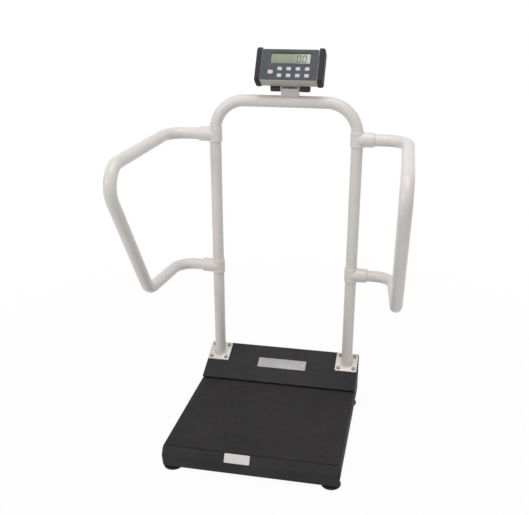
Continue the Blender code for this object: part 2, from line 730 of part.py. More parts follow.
def make_sleeve(name, side, height):
    half = SLEEVE_HEIGHT / 2
    sleeve = cylinder_along(f"{name}_collar", SLEEVE_RADIUS,
                            (side * POST_X, POST_Y, height - half),
                            (side * POST_X, POST_Y, height + half), SLEEVE_SIDES)
    sleeve.name = name
    sleeve.data.name = name
    sleeve.data.materials.append(MATERIALS["cream_paint"])
    profile = ((0.0, SLEEVE_RADIUS + SLEEVE_FLARE), (SLEEVE_RADIUS, SLEEVE_RADIUS + SLEEVE_FLARE),
               (SLEEVE_SOCKET_REACH, TUBE_RADIUS + GAP + SLEEVE_LIP))
    loops = [[(side * (POST_X + reach), POST_Y + y, height + z)
              for y, z in circle(radius, SLEEVE_SIDES)] for reach, radius in profile]
    join(sleeve, [lofted(f"{name}_socket", loops, None)])
    grown = TUBE_RADIUS + GAP
    loops = tube_loops(hoop_path(), grown, TUBE_SIDES)
    post_bore = lofted(f"{name}_post_bore", loops, None)
    rail_bore = cylinder_along(f"{name}_rail_bore", grown / math.cos(math.pi / TUBE_SIDES),
                               (side * (POST_X + RAIL_START - GAP), POST_Y, height),
                               (side * (POST_X + SLEEVE_SOCKET_REACH + CUT_OVERRUN), POST_Y,
                                height), TUBE_SIDES)
    cut(sleeve, [post_bore, rail_bore])


def rail_path(side):
    upper = RAIL_UPPER_HEIGHT
    lower = RAIL_LOWER_HEIGHT
    corners = (
        (side * (POST_X + RAIL_START), POST_Y, upper),
        (side * (POST_X + RAIL_UPPER_OUT), POST_Y, upper),
        (side * (POST_X + RAIL_FRONT_UPPER_OUT), POST_Y - RAIL_UPPER_REACH,
         upper - RAIL_UPPER_FALL),
        (side * (POST_X + RAIL_FRONT_LOWER_OUT), POST_Y - RAIL_LOWER_REACH,
         lower - RAIL_LOWER_FALL),
        (side * (POST_X + RAIL_LOWER_OUT), POST_Y, lower),
        (side * (POST_X + RAIL_START), POST_Y, lower),
    )
    return bent_path(corners, (RAIL_BEND,) * 4, BEND_STEPS)


def make_handrail(name, side):
    hollow_tube(name, rail_path(side), TUBE_RADIUS, TUBE_WALL, TUBE_SIDES, "cream_paint")


def neck_side_outline():
    front = POST_Y - NECK_DEPTH / 2
    rear = POST_Y + NECK_DEPTH / 2
    points = [(front, HOOP_HEIGHT), (rear, HOOP_HEIGHT), (rear, PIVOT_Z + NECK_REAR_RISE)]
    steps = 8
    for step in range(steps + 1):
        angle = NECK_EAR_START + (math.pi - NECK_EAR_START) * step / steps
        points.append((POST_Y + NECK_EAR_RADIUS * math.cos(angle),
                       PIVOT_Z + NECK_EAR_RADIUS * math.sin(angle)))
    points.append((front, PIVOT_Z - NECK_FRONT_DROP))
    return points


def make_neck():
    half = NECK_WIDTH / 2
    neck = extruded_along_x("neck_bracket", neck_side_outline(), NECK_OFFSET - half,
                            NECK_OFFSET + half, "shell_beige")
    low = HOOP_HEIGHT - CUT_OVERRUN
    high = PIVOT_Z + NECK_EAR_RADIUS + CUT_OVERRUN
    hollow = block("neck_hollow", (NECK_WIDTH - 2 * NECK_WALL, NECK_DEPTH - 2 * NECK_WALL,
                                   high - low), (NECK_OFFSET, POST_Y, (low + high) / 2))
    reach = half + CUT_OVERRUN
    bore_radius = (TUBE_RADIUS + GAP) / math.cos(math.pi / TUBE_SIDES)
    saddle = cylinder_along("neck_saddle", bore_radius, (NECK_OFFSET - reach, POST_Y, HOOP_HEIGHT),
                            (NECK_OFFSET + reach, POST_Y, HOOP_HEIGHT), TUBE_SIDES)
    pivot = cylinder_along("neck_pivot_hole", PIVOT_HOLE_RADIUS,
                           (NECK_OFFSET - reach, POST_Y, PIVOT_Z),
                           (NECK_OFFSET + reach, POST_Y, PIVOT_Z))
    cut(neck, [hollow, saddle, pivot])


def yoke_side_outline():
    front = SHELL_REAR + GAP
    outline = [(front, 0.0), (front, YOKE_HEIGHT), (YOKE_REAR, YOKE_HEIGHT)]
    steps = 10
    for step in range(steps + 1):
        angle = YOKE_EAR_START - math.pi * step / steps
        outline.append((YOKE_EAR_RADIUS * math.cos(angle), YOKE_EAR_RADIUS * math.sin(angle)))
    outline.append((YOKE_REAR, 0.0))
    return outline


def make_yoke():
    inner = NECK_WIDTH / 2 + GAP
    outer = inner + YOKE_WALL
    yoke = extruded_along_x("tilt_yoke", yoke_side_outline(), -outer, outer, "shell_beige", PIVOT)
    reach = YOKE_HEIGHT + CUT_OVERRUN
    channel = block("yoke_channel", (2 * inner, reach, 2 * reach),
                    (0.0, YOKE_REAR + reach / 2, 0.0), parent=PIVOT)
    across = outer + CUT_OVERRUN
    hole = cylinder_along("yoke_hole", PIVOT_HOLE_RADIUS, (-across, 0.0, 0.0),
                          (across, 0.0, 0.0), parent=PIVOT)
    cut(yoke, [port_cutter("yoke", SHELL_REAR - CUT_OVERRUN), channel, hole])


def port_cutter(label, start):
    return cylinder_along(f"{label}_cable_port", GLAND_RADIUS / 2 + GAP, (0.0, start, GLAND_LIFT),
                          (0.0, YOKE_REAR + CUT_OVERRUN, GLAND_LIFT), parent=PIVOT)


def make_knob(name, side):
    start = NECK_WIDTH / 2 + 2 * GAP + YOKE_WALL
    frame = add_empty(f"{name}_frame", (NECK_OFFSET, POST_Y, PIVOT_Z))
    sides = 2 * KNOB_LOBES
    loops = []
    tip = NECK_WIDTH / 2 - NECK_WALL - KNOB_STUD_PROUD
    for reach in (tip, start):
        loops.append([(side * reach, y, z) for y, z in circle(KNOB_STUD_RADIUS, sides)])
    body = ((start, KNOB_RADIUS), (start + KNOB_LENGTH - KNOB_BEVEL, KNOB_RADIUS),
            (start + KNOB_LENGTH, KNOB_RADIUS - KNOB_BEVEL))
    for reach, radius in body:
        ring = []
        for number, (y, z) in enumerate(circle(radius, sides)):
            lobe_share = 1.0 if number % 2 else KNOB_FLUTE_SHARE
            ring.append((side * reach, y * lobe_share, z * lobe_share))
        loops.append(ring)
    lofted(name, loops, "knob_black", frame)


def display_profile(grow_front, grow_rear, grow_bottom, grow_top, radius):
    low_y, high_y = SHELL_FRONT - grow_front, SHELL_REAR + grow_rear
    low_z, high_z = FACE_BOTTOM - grow_bottom, FACE_BOTTOM + FACE_HEIGHT + grow_top
    outline = rounded_rectangle(high_y - low_y, high_z - low_z, radius)
    return [(y + (low_y + high_y) / 2, z + (low_z + high_z) / 2) for y, z in outline]


def make_display_shell():
    half = SHELL_WIDTH / 2
    middle_z = FACE_BOTTOM + FACE_HEIGHT / 2
    shell = extruded_along_x("display_shell", display_profile(0.0, 0.0, 0.0, 0.0,
                                                              SHELL_CORNER_RADIUS),
                             -half, half, "shell_beige", PIVOT)
    shrink = -SHELL_WALL
    inner = display_profile(shrink, shrink, shrink, shrink, SHELL_CORNER_RADIUS - SHELL_WALL)
    hollow = extruded_along_x("shell_hollow", inner, -half - CUT_OVERRUN, half + CUT_OVERRUN,
                              parent=PIVOT)
    window = block("shell_window", (SHELL_WIDTH - 2 * SHELL_RIM,
                                    2 * (SHELL_WALL + CUT_OVERRUN), FACE_HEIGHT - 2 * SHELL_RIM),
                   (0.0, SHELL_FRONT, middle_z), parent=PIVOT)
    bay = block("shell_battery_bay", (BATTERY_WIDTH + 2 * GAP, 2 * (SHELL_WALL + CUT_OVERRUN),
                                      BATTERY_HEIGHT + 2 * GAP),
                (0.0, SHELL_REAR, BATTERY_BOTTOM + BATTERY_HEIGHT / 2), parent=PIVOT)
    port = port_cutter("shell", SHELL_REAR - SHELL_WALL - CUT_OVERRUN)
    cut(shell, [hollow, window, bay, port])
    board_back = SHELL_FRONT + BOARD_SETBACK + BOARD_THICKNESS + GAP
    standoffs = []
    for side_x in (-1, 1):
        for side_z in (-1, 1):
            x = side_x * (BOARD_WIDTH / 2 - STANDOFF_INSET)
            z = middle_z + side_z * (BOARD_HEIGHT / 2 - STANDOFF_INSET)
            standoffs.append(cylinder_along(f"standoff_{side_x}_{side_z}", STANDOFF_RADIUS,
                                            (x, board_back, z),
                                            (x, SHELL_REAR - SHELL_WALL / 2, z), 8, PIVOT))
    join(shell, standoffs)


def make_end_cap(name, side):
    start = SHELL_WIDTH / 2 + GAP
    grow = (CAP_OVERHANG_FRONT, CAP_OVERHANG_REAR, CAP_OVERHANG_BOTTOM, CAP_OVERHANG_TOP)
    steps = ((0.0, 0.0), (CAP_THICKNESS - CAP_ROUNDING, 0.0),
             (CAP_THICKNESS - CAP_ROUNDING * CAP_ROUNDING_SHARE,
              CAP_ROUNDING * CAP_ROUNDING_SHARE),
             (CAP_THICKNESS, CAP_ROUNDING))
    loops = []
    for reach, draw_in in steps:
        profile = display_profile(*(size - draw_in for size in grow),
                                  CAP_CORNER_RADIUS - draw_in)
        loops.append([(side * (start + reach), y, z) for y, z in profile])
    lofted(name, loops, "black_rubber", PIVOT)


def key_places():
    places = [(KEY_COLUMN_SHIFT - 2.5 * KEY_COLUMN_PITCH, KEY_CENTRE_HEIGHT,
               WIDE_KEY_WIDTH, WIDE_KEY_HEIGHT)]
    for row in (0.5, -0.5):
        for column in range(4):
            places.append((KEY_COLUMN_SHIFT + (column - 1.5) * KEY_COLUMN_PITCH,
                           KEY_CENTRE_HEIGHT + row * KEY_ROW_PITCH, KEY_WIDTH, KEY_HEIGHT))
    return places


def flat_loop(outline, x, y, z):
    return [(x + across, y, z + up) for across, up in outline]


def make_panel():
    width = SHELL_WIDTH - 2 * PANEL_MARGIN
    height = FACE_HEIGHT - 2 * PANEL_MARGIN
    middle_z = FACE_BOTTOM + FACE_HEIGHT / 2
    outline = rounded_rectangle(width, height, KEY_CORNER_RADIUS)
    panel = lofted("face_panel", [flat_loop(outline, 0.0, y, middle_z)
                                  for y in (-FACE_FORWARD, -FACE_FORWARD + PANEL_THICKNESS)],
                   "panel_slate", PIVOT)
    front = -FACE_FORWARD - CUT_OVERRUN
    rear = -FACE_FORWARD + PANEL_THICKNESS + CUT_OVERRUN
    window = block("panel_window", (LCD_WIDTH, rear - front, LCD_HEIGHT),
                   (LCD_SHIFT, (front + rear) / 2, LCD_BOTTOM + LCD_HEIGHT / 2), parent=PIVOT)
    cutters = [window]
    for number, (x, z, key_width, key_height) in enumerate(key_places()):
        hole = rounded_rectangle(key_width + 2 * GAP, key_height + 2 * GAP,
                                 KEY_CORNER_RADIUS + GAP)
        cutters.append(lofted(f"panel_key_hole_{number}", [flat_loop(hole, x, y, z)
                                                           for y in (front, rear)],
                              None, PIVOT))
    cut(panel, cutters)


def make_key(name, x, z, width, height):
    frame = add_empty(f"{name}_frame", (0.0, 0.0, 0.0))
    frame.parent = PIVOT
    front = -FACE_FORWARD - KEY_PROUD
    flange_end = SHELL_FRONT + KEY_FLANGE_THICKNESS
    end = SHELL_FRONT + BOARD_SETBACK - KEY_TRAVEL - GAP
    face = rounded_rectangle(width - 2 * KEY_ROUNDING, height - 2 * KEY_ROUNDING,
                             KEY_CORNER_RADIUS - KEY_ROUNDING, 2)
    body = rounded_rectangle(width, height, KEY_CORNER_RADIUS, 2)
    wide = rounded_rectangle(width + 2 * KEY_FLANGE, height + 2 * KEY_FLANGE,
                             KEY_CORNER_RADIUS, 2)
    stem = rounded_rectangle(width / 2, height / 2, KEY_CORNER_RADIUS / 2, 2)
    loops = [flat_loop(face, x, front, z), flat_loop(body, x, front + KEY_ROUNDING, z),
             flat_loop(body, x, SHELL_FRONT, z), flat_loop(wide, x, SHELL_FRONT, z),
             flat_loop(wide, x, flange_end, z), flat_loop(stem, x, flange_end, z),
             flat_loop(stem, x, end, z)]
    lofted(name, loops, "key_grey", frame)


def make_lcd():
    depth = BOARD_SETBACK - GAP
    block("lcd_module", (LCD_WIDTH + 2 * LCD_BEZEL, depth, LCD_HEIGHT + 2 * LCD_BEZEL),
          (LCD_SHIFT, SHELL_FRONT + depth / 2, LCD_BOTTOM + LCD_HEIGHT / 2), "lcd_green", PIVOT)


def make_board():
    front = SHELL_FRONT + BOARD_SETBACK
    block("circuit_board", (BOARD_WIDTH, BOARD_THICKNESS, BOARD_HEIGHT),
          (0.0, front + BOARD_THICKNESS / 2, FACE_BOTTOM + FACE_HEIGHT / 2), "board_green",
          PIVOT)


def make_battery():
    centre_z = BATTERY_BOTTOM + BATTERY_HEIGHT / 2
    block("battery_pack", (BATTERY_WIDTH, BATTERY_DEPTH, BATTERY_HEIGHT),
          (0.0, SHELL_REAR - BATTERY_DEPTH / 2, centre_z), "battery_grey", PIVOT)
    outline = rounded_rectangle(BATTERY_WIDTH + 2 * COVER_MARGIN,
                                BATTERY_HEIGHT + 2 * COVER_MARGIN, KEY_CORNER_RADIUS)
    start = SHELL_REAR + GAP
    lofted("rear_cover", [flat_loop(outline, 0.0, y, centre_z)
                          for y in (start, start + COVER_THICKNESS)], "battery_grey", PIVOT)


def make_gland():
    seat = YOKE_REAR + GAP
    inner = GLAND_RADIUS / 2
    profile = ((inner, SHELL_REAR - SHELL_WALL), (inner, seat), (GLAND_RADIUS, seat),
               (GLAND_RADIUS, seat + GLAND_HEIGHT / 2), (inner, seat + GLAND_HEIGHT),
               (CABLE_RADIUS, seat + GLAND_HEIGHT), (CABLE_RADIUS, CABLE_RADIUS / 2))
    loops = [[(x, reach, GLAND_LIFT + z) for x, z in circle(radius, ROUND_SIDES)]
             for radius, reach in profile]
    lofted("display_gland", loops, "cable_black", PIVOT)


def make_junction_box():
    start = cross_places()[1] + FRAME_WIDTH / 2 + GAP
    top = FRAME_TOP - FRAME_WALL
    box = block("junction_box", (BOX_WIDTH, BOX_DEPTH, BOX_HEIGHT),
                (0.0, start + BOX_DEPTH / 2, top - BOX_HEIGHT / 2), "battery_grey")
    rounding = box.modifiers.new("edge_rounding", "BEVEL")
    rounding.width = BOX_EDGE_RADIUS
    rounding.segments = 2


def cable_route():
    start_y = cross_places()[1] + FRAME_WIDTH / 2 + 2 * GAP + BOX_DEPTH
    start_z = FRAME_TOP - FRAME_WALL - BOX_HEIGHT / 2
    shelf = FRAME_TOP + GAP + BRACKET_WALL + 2 * CABLE_RADIUS
    turn = TUBE_RADIUS
    inside = TUBE_RADIUS - TUBE_WALL - 2 * CABLE_RADIUS
    top = HOOP_HEIGHT + inside / 2
    riser_y = HOUSING_FRONT + HOUSING_LIP_DEPTH + turn / 2 + 2 * CABLE_RADIUS
    corners = ((0.0, start_y, start_z), (0.0, riser_y, start_z), (0.0, riser_y, shelf),
               (0.0, POST_Y, shelf), (POST_X, POST_Y, shelf), (POST_X, POST_Y, top),
               (NECK_OFFSET, POST_Y, top),
               (NECK_OFFSET, POST_Y, PIVOT_Z + CABLE_RADIUS))
    radii = (turn / 2,) * 4 + (HOOP_BEND, CABLE_RADIUS * 2)
    return bent_path(corners, radii, CABLE_STEPS)


def make_cable():
    loops = tube_loops(cable_route(), CABLE_RADIUS, 8)
    lofted("signal_cable", loops, "cable_black")


def make_housing_plate():
    outline = rounded_rectangle(HOUSING_PLATE_WIDTH, HOUSING_PLATE_HEIGHT, PLATE_CORNER_RADIUS)
    loops = [[(HOUSING_PLATE_X + x, HOUSING_PLATE_ALONG + y, z) for x, y in outline]
             for z in (GAP, GAP + PLATE_THICKNESS)]
    lofted("housing_plate", loops, "plate_silver", SLOPE)


def make_front_plate():
    rise = TRAY_TOP - SHOULDER_HEIGHT
    lean = math.atan2(rise, SHOULDER_INSET)
    frame = add_empty("shoulder_frame", (FRONT_PLATE_X, FRONT_Y + SHOULDER_INSET / 2,
                                         SHOULDER_HEIGHT + rise / 2), lean)
    flat_length = math.hypot(rise, SHOULDER_INSET) - TRAY_EDGE_RADIUS
    height = min(FRONT_PLATE_HEIGHT, flat_length)
    outline = rounded_rectangle(FRONT_PLATE_WIDTH, height, PLATE_CORNER_RADIUS)
    loops = [[(x, y, z) for x, y in outline] for z in (GAP, GAP + PLATE_THICKNESS)]
    lofted("front_plate", loops, "plate_white", frame)


def build():
    make_tray()
    make_mat()
    make_housing()
    for place, name in zip(cross_places(), ("front", "middle", "rear")):
        make_cross_member(f"frame_cross_{name}", place)
    for side, side_name in ((-1, "left"), (1, "right")):
        make_side_rail(f"frame_rail_{side_name}", side)
        make_bracket(f"post_bracket_{side_name}", side)
        make_flange(f"post_flange_{side_name}", side)
        make_bolt_plate(f"flange_bolts_{side_name}", side)
        make_sleeve(f"sleeve_upper_{side_name}", side, RAIL_UPPER_HEIGHT)
        make_sleeve(f"sleeve_lower_{side_name}", side, RAIL_LOWER_HEIGHT)
        make_handrail(f"handrail_{side_name}", side)
        make_knob(f"tilt_knob_{side_name}", side)
        make_end_cap(f"end_cap_{side_name}", side)
        for end, end_name in ((-1, "front"), (1, "rear")):
            make_load_cell(f"load_cell_{end_name}_{side_name}", side, end)
            make_foot(f"{end_name}_{side_name}", side, end)
    make_hoop()
    make_neck()
    make_yoke()
    make_display_shell()
    make_panel()
    for number, place in enumerate(key_places(), start=1):
        make_key(f"key_{number}", *place)
    make_lcd()
    make_board()
    make_battery()
    make_gland()
    make_junction_box()
    make_cable()
    make_housing_plate()
    make_front_plate()


build()
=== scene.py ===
# Looks of the platform scale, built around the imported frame.
import json
import math
import random

import bmesh
import bpy
from mathutils import Matrix, Vector


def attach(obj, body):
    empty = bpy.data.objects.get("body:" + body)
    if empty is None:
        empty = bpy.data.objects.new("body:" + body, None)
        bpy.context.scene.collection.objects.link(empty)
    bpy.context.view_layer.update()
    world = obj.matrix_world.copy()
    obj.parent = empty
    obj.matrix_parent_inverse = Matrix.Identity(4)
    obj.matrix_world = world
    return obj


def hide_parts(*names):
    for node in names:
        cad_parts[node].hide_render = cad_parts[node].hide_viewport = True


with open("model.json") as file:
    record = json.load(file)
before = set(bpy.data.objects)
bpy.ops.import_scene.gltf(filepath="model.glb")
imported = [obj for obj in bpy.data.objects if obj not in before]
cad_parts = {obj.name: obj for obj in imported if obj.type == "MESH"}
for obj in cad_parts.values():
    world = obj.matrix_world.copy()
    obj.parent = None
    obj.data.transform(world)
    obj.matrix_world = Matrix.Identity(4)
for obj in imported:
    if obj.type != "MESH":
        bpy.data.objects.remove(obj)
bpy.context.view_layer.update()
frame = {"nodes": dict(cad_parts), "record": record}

# Sizes repeated from the CAD source, in metres
BASE_WIDTH = 0.610
BASE_DEPTH = 0.678
FRONT_Y = -BASE_DEPTH / 2
REAR_Y = BASE_DEPTH / 2
SHOULDER_INSET = 0.018
HOUSING_DEPTH = 0.172
HOUSING_FRONT = REAR_Y - HOUSING_DEPTH
HOUSING_LIP_DEPTH = 0.020
HOUSING_WALL = 0.003
LIP_TOP = 0.097
HOUSING_REAR_HEIGHT = 0.170
SLOPE_ANGLE = math.atan2(HOUSING_REAR_HEIGHT - LIP_TOP, REAR_Y - HOUSING_FRONT)
PLATFORM_HEIGHT = 0.090
MAT_THICKNESS = 0.003
MAT_SIDE_INSET = 0.005
MAT_CORNER = 0.006
GAP = 0.0003

POST_X = 0.260
POST_REAR_INSET = 0.0485
POST_Y = REAR_Y - POST_REAR_INSET
TUBE_RADIUS = 0.0212
TUBE_WALL = 0.0026
HOOP_HEIGHT = 1.165
HOOP_BEND = 0.112
RAIL_START = 0.027
RAIL_BEND = 0.075
RAIL_HEIGHTS = (1.041, 0.528)
RAIL_OUTS = (0.179, 0.157)
RAIL_FRONT_OUTS = (0.195, 0.183)
RAIL_REACHES = (0.603, 0.294)
RAIL_FRONT_HEIGHTS = (1.027, 0.525)
SLEEVE_RADIUS = 0.0251
SLEEVE_HEIGHT = 0.054
SLEEVE_REACH = 0.062

FLANGE_WIDTH = 0.086
FLANGE_LENGTH = 0.092
FLANGE_THICKNESS = 0.006
FLANGE_CORNER = 0.006
FLANGE_BOLT_INSET = 0.013
FLANGE_TOP = GAP + FLANGE_THICKNESS
BRACKET_WALL = 0.004
BOLT_PLATE_THICKNESS = 0.004
POST_ALONG = (POST_Y - HOUSING_FRONT) / math.cos(SLOPE_ANGLE)

NECK_OFFSET = 0.017
NECK_WIDTH = 0.062
NECK_DEPTH = 0.028
YOKE_WALL = 0.003
PIVOT_Z = 1.211
DISPLAY_TILT = math.radians(31.0)
KNOB_RADIUS = 0.0125
KNOB_LENGTH = 0.036
KNOB_LOBES = 8
FACE_FORWARD = 0.0675
FACE_BOTTOM = -0.001
FACE_HEIGHT = 0.114
SHELL_WIDTH = 0.201
SHELL_DEPTH = 0.051
PANEL_THICKNESS = 0.0025
SHELL_FRONT = -FACE_FORWARD + PANEL_THICKNESS + GAP
SHELL_REAR = SHELL_FRONT + SHELL_DEPTH
CAP_THICKNESS = 0.019
CAP_CORNER = 0.014
CAP_PROUD = {"front": 0.004, "rear": 0.0025, "bottom": 0.005, "top": 0.009}
LCD_WIDTH = 0.141
LCD_HEIGHT = 0.041
LCD_BOTTOM = 0.0595
LCD_SHIFT = 0.002
BOARD_SETBACK = 0.0115
KEY_SHIFT = 0.016
KEY_PITCH_X = 0.032
KEY_PITCH_Z = 0.0243
KEY_MIDDLE = 0.0280
KEY_SIZE = (0.016, 0.0125)
WIDE_KEY_SIZE = (0.018, 0.014)
KEY_CORNER = 0.0030
KEY_FLANGE = 0.0015
KEY_FLANGE_DEPTH = 0.0015
KEY_TRAVEL = 0.0008
KEY_PROUD = 0.0016
BATTERY_WIDTH = 0.110
BATTERY_HEIGHT = 0.060
BATTERY_BOTTOM = 0.036
COVER_MARGIN = 0.009
COVER_THICKNESS = 0.0025

FOOT_SIDE_INSET = 0.029
FOOT_FRONT_INSET = 0.0325
FOOT_REAR_INSET = 0.104
FOOT_X = BASE_WIDTH / 2 - FOOT_SIDE_INSET
FOOT_Y = {"front": FRONT_Y + FOOT_FRONT_INSET, "rear": REAR_Y - FOOT_REAR_INSET}
CELL_BOTTOM = 0.0371
CELL_LENGTH = 0.130
CELL_FREE_LENGTH = 0.015
JUNCTION_FRONT = 0.0203
JUNCTION_SIZE = (0.120, 0.070)

SIDES = (("left", -1), ("right", 1))
ENDS = (("front", -1), ("rear", 1))
CORNERS = ((-1, -1), (1, -1), (-1, 1), (1, 1))
HERE = Matrix.Identity(4)
SLOPE = (Matrix.Translation((0.0, HOUSING_FRONT, LIP_TOP))
         @ Matrix.Rotation(SLOPE_ANGLE, 4, "X"))
PIVOT = (Matrix.Translation((NECK_OFFSET, POST_Y, PIVOT_Z))
         @ Matrix.Rotation(-DISPLAY_TILT, 4, "X"))
# Turns a shape made in XY and standing on +Z so that it lies on the display's face
ON_FACE = Matrix.Rotation(math.pi / 2, 4, "X")


# Materials

DUST_COLOR = (0.30, 0.29, 0.27)
GRAIN_TONE = 0.3
GLOSS_SPREAD = 0.06
COAT_ROUGHNESS = 0.1
SMEARS_TO_PATCHES = 2.6
PEBBLES_TO_GRAIN = 2.5
# The display's greens, and a painted reflection: the paler colour that they turn into between
# two distances along X
SCREEN_GREENS = ((0.222, 0.260, 0.172), (0.260, 0.300, 0.210))
SCREEN_PAINTED_REFLECTION = (0.52, 0.57, 0.50)
SCREEN_PAINTED_REFLECTION_FROM = 0.030
SCREEN_PAINTED_REFLECTION_TO = 0.088


def graph(name):
    material = bpy.data.materials.new(name)
    material.use_nodes = True
    nodes = material.node_tree.nodes
    links = material.node_tree.links
    return material, nodes, links, nodes["Principled BSDF"]


def noise(nodes, links, vector, scale, detail=3.0, rough=0.55):
    node = nodes.new("ShaderNodeTexNoise")
    node.inputs["Scale"].default_value = scale
    node.inputs["Detail"].default_value = detail
    node.inputs["Roughness"].default_value = rough
    links.new(vector, node.inputs["Vector"])
    return node.outputs["Fac"]


def remap(nodes, links, value, low, high, from_low=0.3, from_high=0.7):
    node = nodes.new("ShaderNodeMapRange")
    node.inputs["From Min"].default_value = from_low
    node.inputs["From Max"].default_value = from_high
    node.inputs["To Min"].default_value = low
    node.inputs["To Max"].default_value = high
    links.new(value, node.inputs["Value"])
    return node.outputs["Result"]


def mix_colors(nodes, links, factor, first, second):
    node = nodes.new("ShaderNodeMix")
    node.data_type = "RGBA"
    links.new(factor, node.inputs["Factor"])
    for socket, color in zip((node.inputs[6], node.inputs[7]), (first, second)):
        if hasattr(color, "is_linked"):
            links.new(color, socket)
        else:
            socket.default_value = (*color, 1.0)
    return node.outputs[2]


def bumps(nodes, links, heights, shader):
    normal = None
    for height, distance, strength in heights:
        node = nodes.new("ShaderNodeBump")
        node.inputs["Distance"].default_value = distance
        node.inputs["Strength"].default_value = strength
        links.new(height, node.inputs["Height"])
        if normal is not None:
            links.new(normal, node.inputs["Normal"])
        normal = node.outputs["Normal"]
    links.new(normal, shader.inputs["Normal"])


def surface(name, color, rough, metal=0.0, vary=0.08, patch=7.0, grain=700.0, depth=0.00012,
            stretch=None, coat=0.0, specular=0.5, pebble=0.0, dust=0.0):
    """A painted, moulded or metal surface: patches of tone and gloss, a fine grain, and dust."""
    material, nodes, links, shader = graph(name)
    where = nodes.new("ShaderNodeTexCoord").outputs["Object"]
    fine = where
    if stretch:
        mapping = nodes.new("ShaderNodeMapping")
        mapping.inputs["Scale"].default_value = stretch
        links.new(where, mapping.inputs["Vector"])
        fine = mapping.outputs["Vector"]
    patches = noise(nodes, links, where, patch)
    grains = noise(nodes, links, fine, grain, detail=2.0)
    tone = nodes.new("ShaderNodeMath")
    tone.operation = "MULTIPLY_ADD"
    tone.inputs[1].default_value = GRAIN_TONE
    links.new(grains, tone.inputs[0])
    links.new(patches, tone.inputs[2])
    low = tuple(c * (1.0 - vary) for c in color)
    high = tuple(min(1.0, c * (1.0 + vary)) for c in color)
    share = remap(nodes, links, tone.outputs[0], 0.0, 1.0, from_low=0.45, from_high=0.85)
    shade = mix_colors(nodes, links, share, low, high)
    if dust:
        specks = noise(nodes, links, where, 55.0, detail=6.0, rough=0.7)
        amount = remap(nodes, links, specks, 0.0, dust, from_low=0.5, from_high=0.75)
        shade = mix_colors(nodes, links, amount, shade, DUST_COLOR)
    links.new(shade, shader.inputs["Base Color"])
    smears = noise(nodes, links, where, patch * SMEARS_TO_PATCHES, detail=4.0)
    links.new(remap(nodes, links, smears, rough - GLOSS_SPREAD, rough + GLOSS_SPREAD),
              shader.inputs["Roughness"])
    shader.inputs["Metallic"].default_value = metal
    shader.inputs["Specular IOR Level"].default_value = specular
    shader.inputs["Coat Weight"].default_value = coat
    shader.inputs["Coat Roughness"].default_value = COAT_ROUGHNESS
    heights = [(grains, depth, 0.6)]
    if pebble:
        cells = nodes.new("ShaderNodeTexVoronoi")
        cells.inputs["Scale"].default_value = pebble
        links.new(where, cells.inputs["Vector"])
        heights.append((cells.outputs["Distance"], depth * PEBBLES_TO_GRAIN, 0.8))
    bumps(nodes, links, heights, shader)
    return material


def screen_material():
    """Grey-green display with a painted reflection: its colour turns paler towards one end."""
    material, nodes, links, shader = graph("lcd_screen")
    where = nodes.new("ShaderNodeTexCoord").outputs["Object"]
    split = nodes.new("ShaderNodeSeparateXYZ")
    links.new(where, split.inputs[0])
    # Share of the painted reflection, growing along X
    across = remap(nodes, links, split.outputs["X"], 0.0, 1.0, SCREEN_PAINTED_REFLECTION_FROM,
                   SCREEN_PAINTED_REFLECTION_TO)
    body = noise(nodes, links, where, 30.0)
    green = mix_colors(nodes, links, remap(nodes, links, body, 0.0, 1.0), *SCREEN_GREENS)
    # Mixes the painted reflection into the green
    links.new(mix_colors(nodes, links, across, green, SCREEN_PAINTED_REFLECTION),
              shader.inputs["Base Color"])
    shader.inputs["Roughness"].default_value = 0.35
    shader.inputs["Specular IOR Level"].default_value = 0.3
    bumps(nodes, links, [(noise(nodes, links, where, 1500.0), 0.00002, 0.4)], shader)
    return material


BRUSHED = (1.0, 60.0, 60.0)
COATED = dict(grain=420.0, depth=0.00010)
MOULDED = dict(grain=1100.0, depth=0.00008)
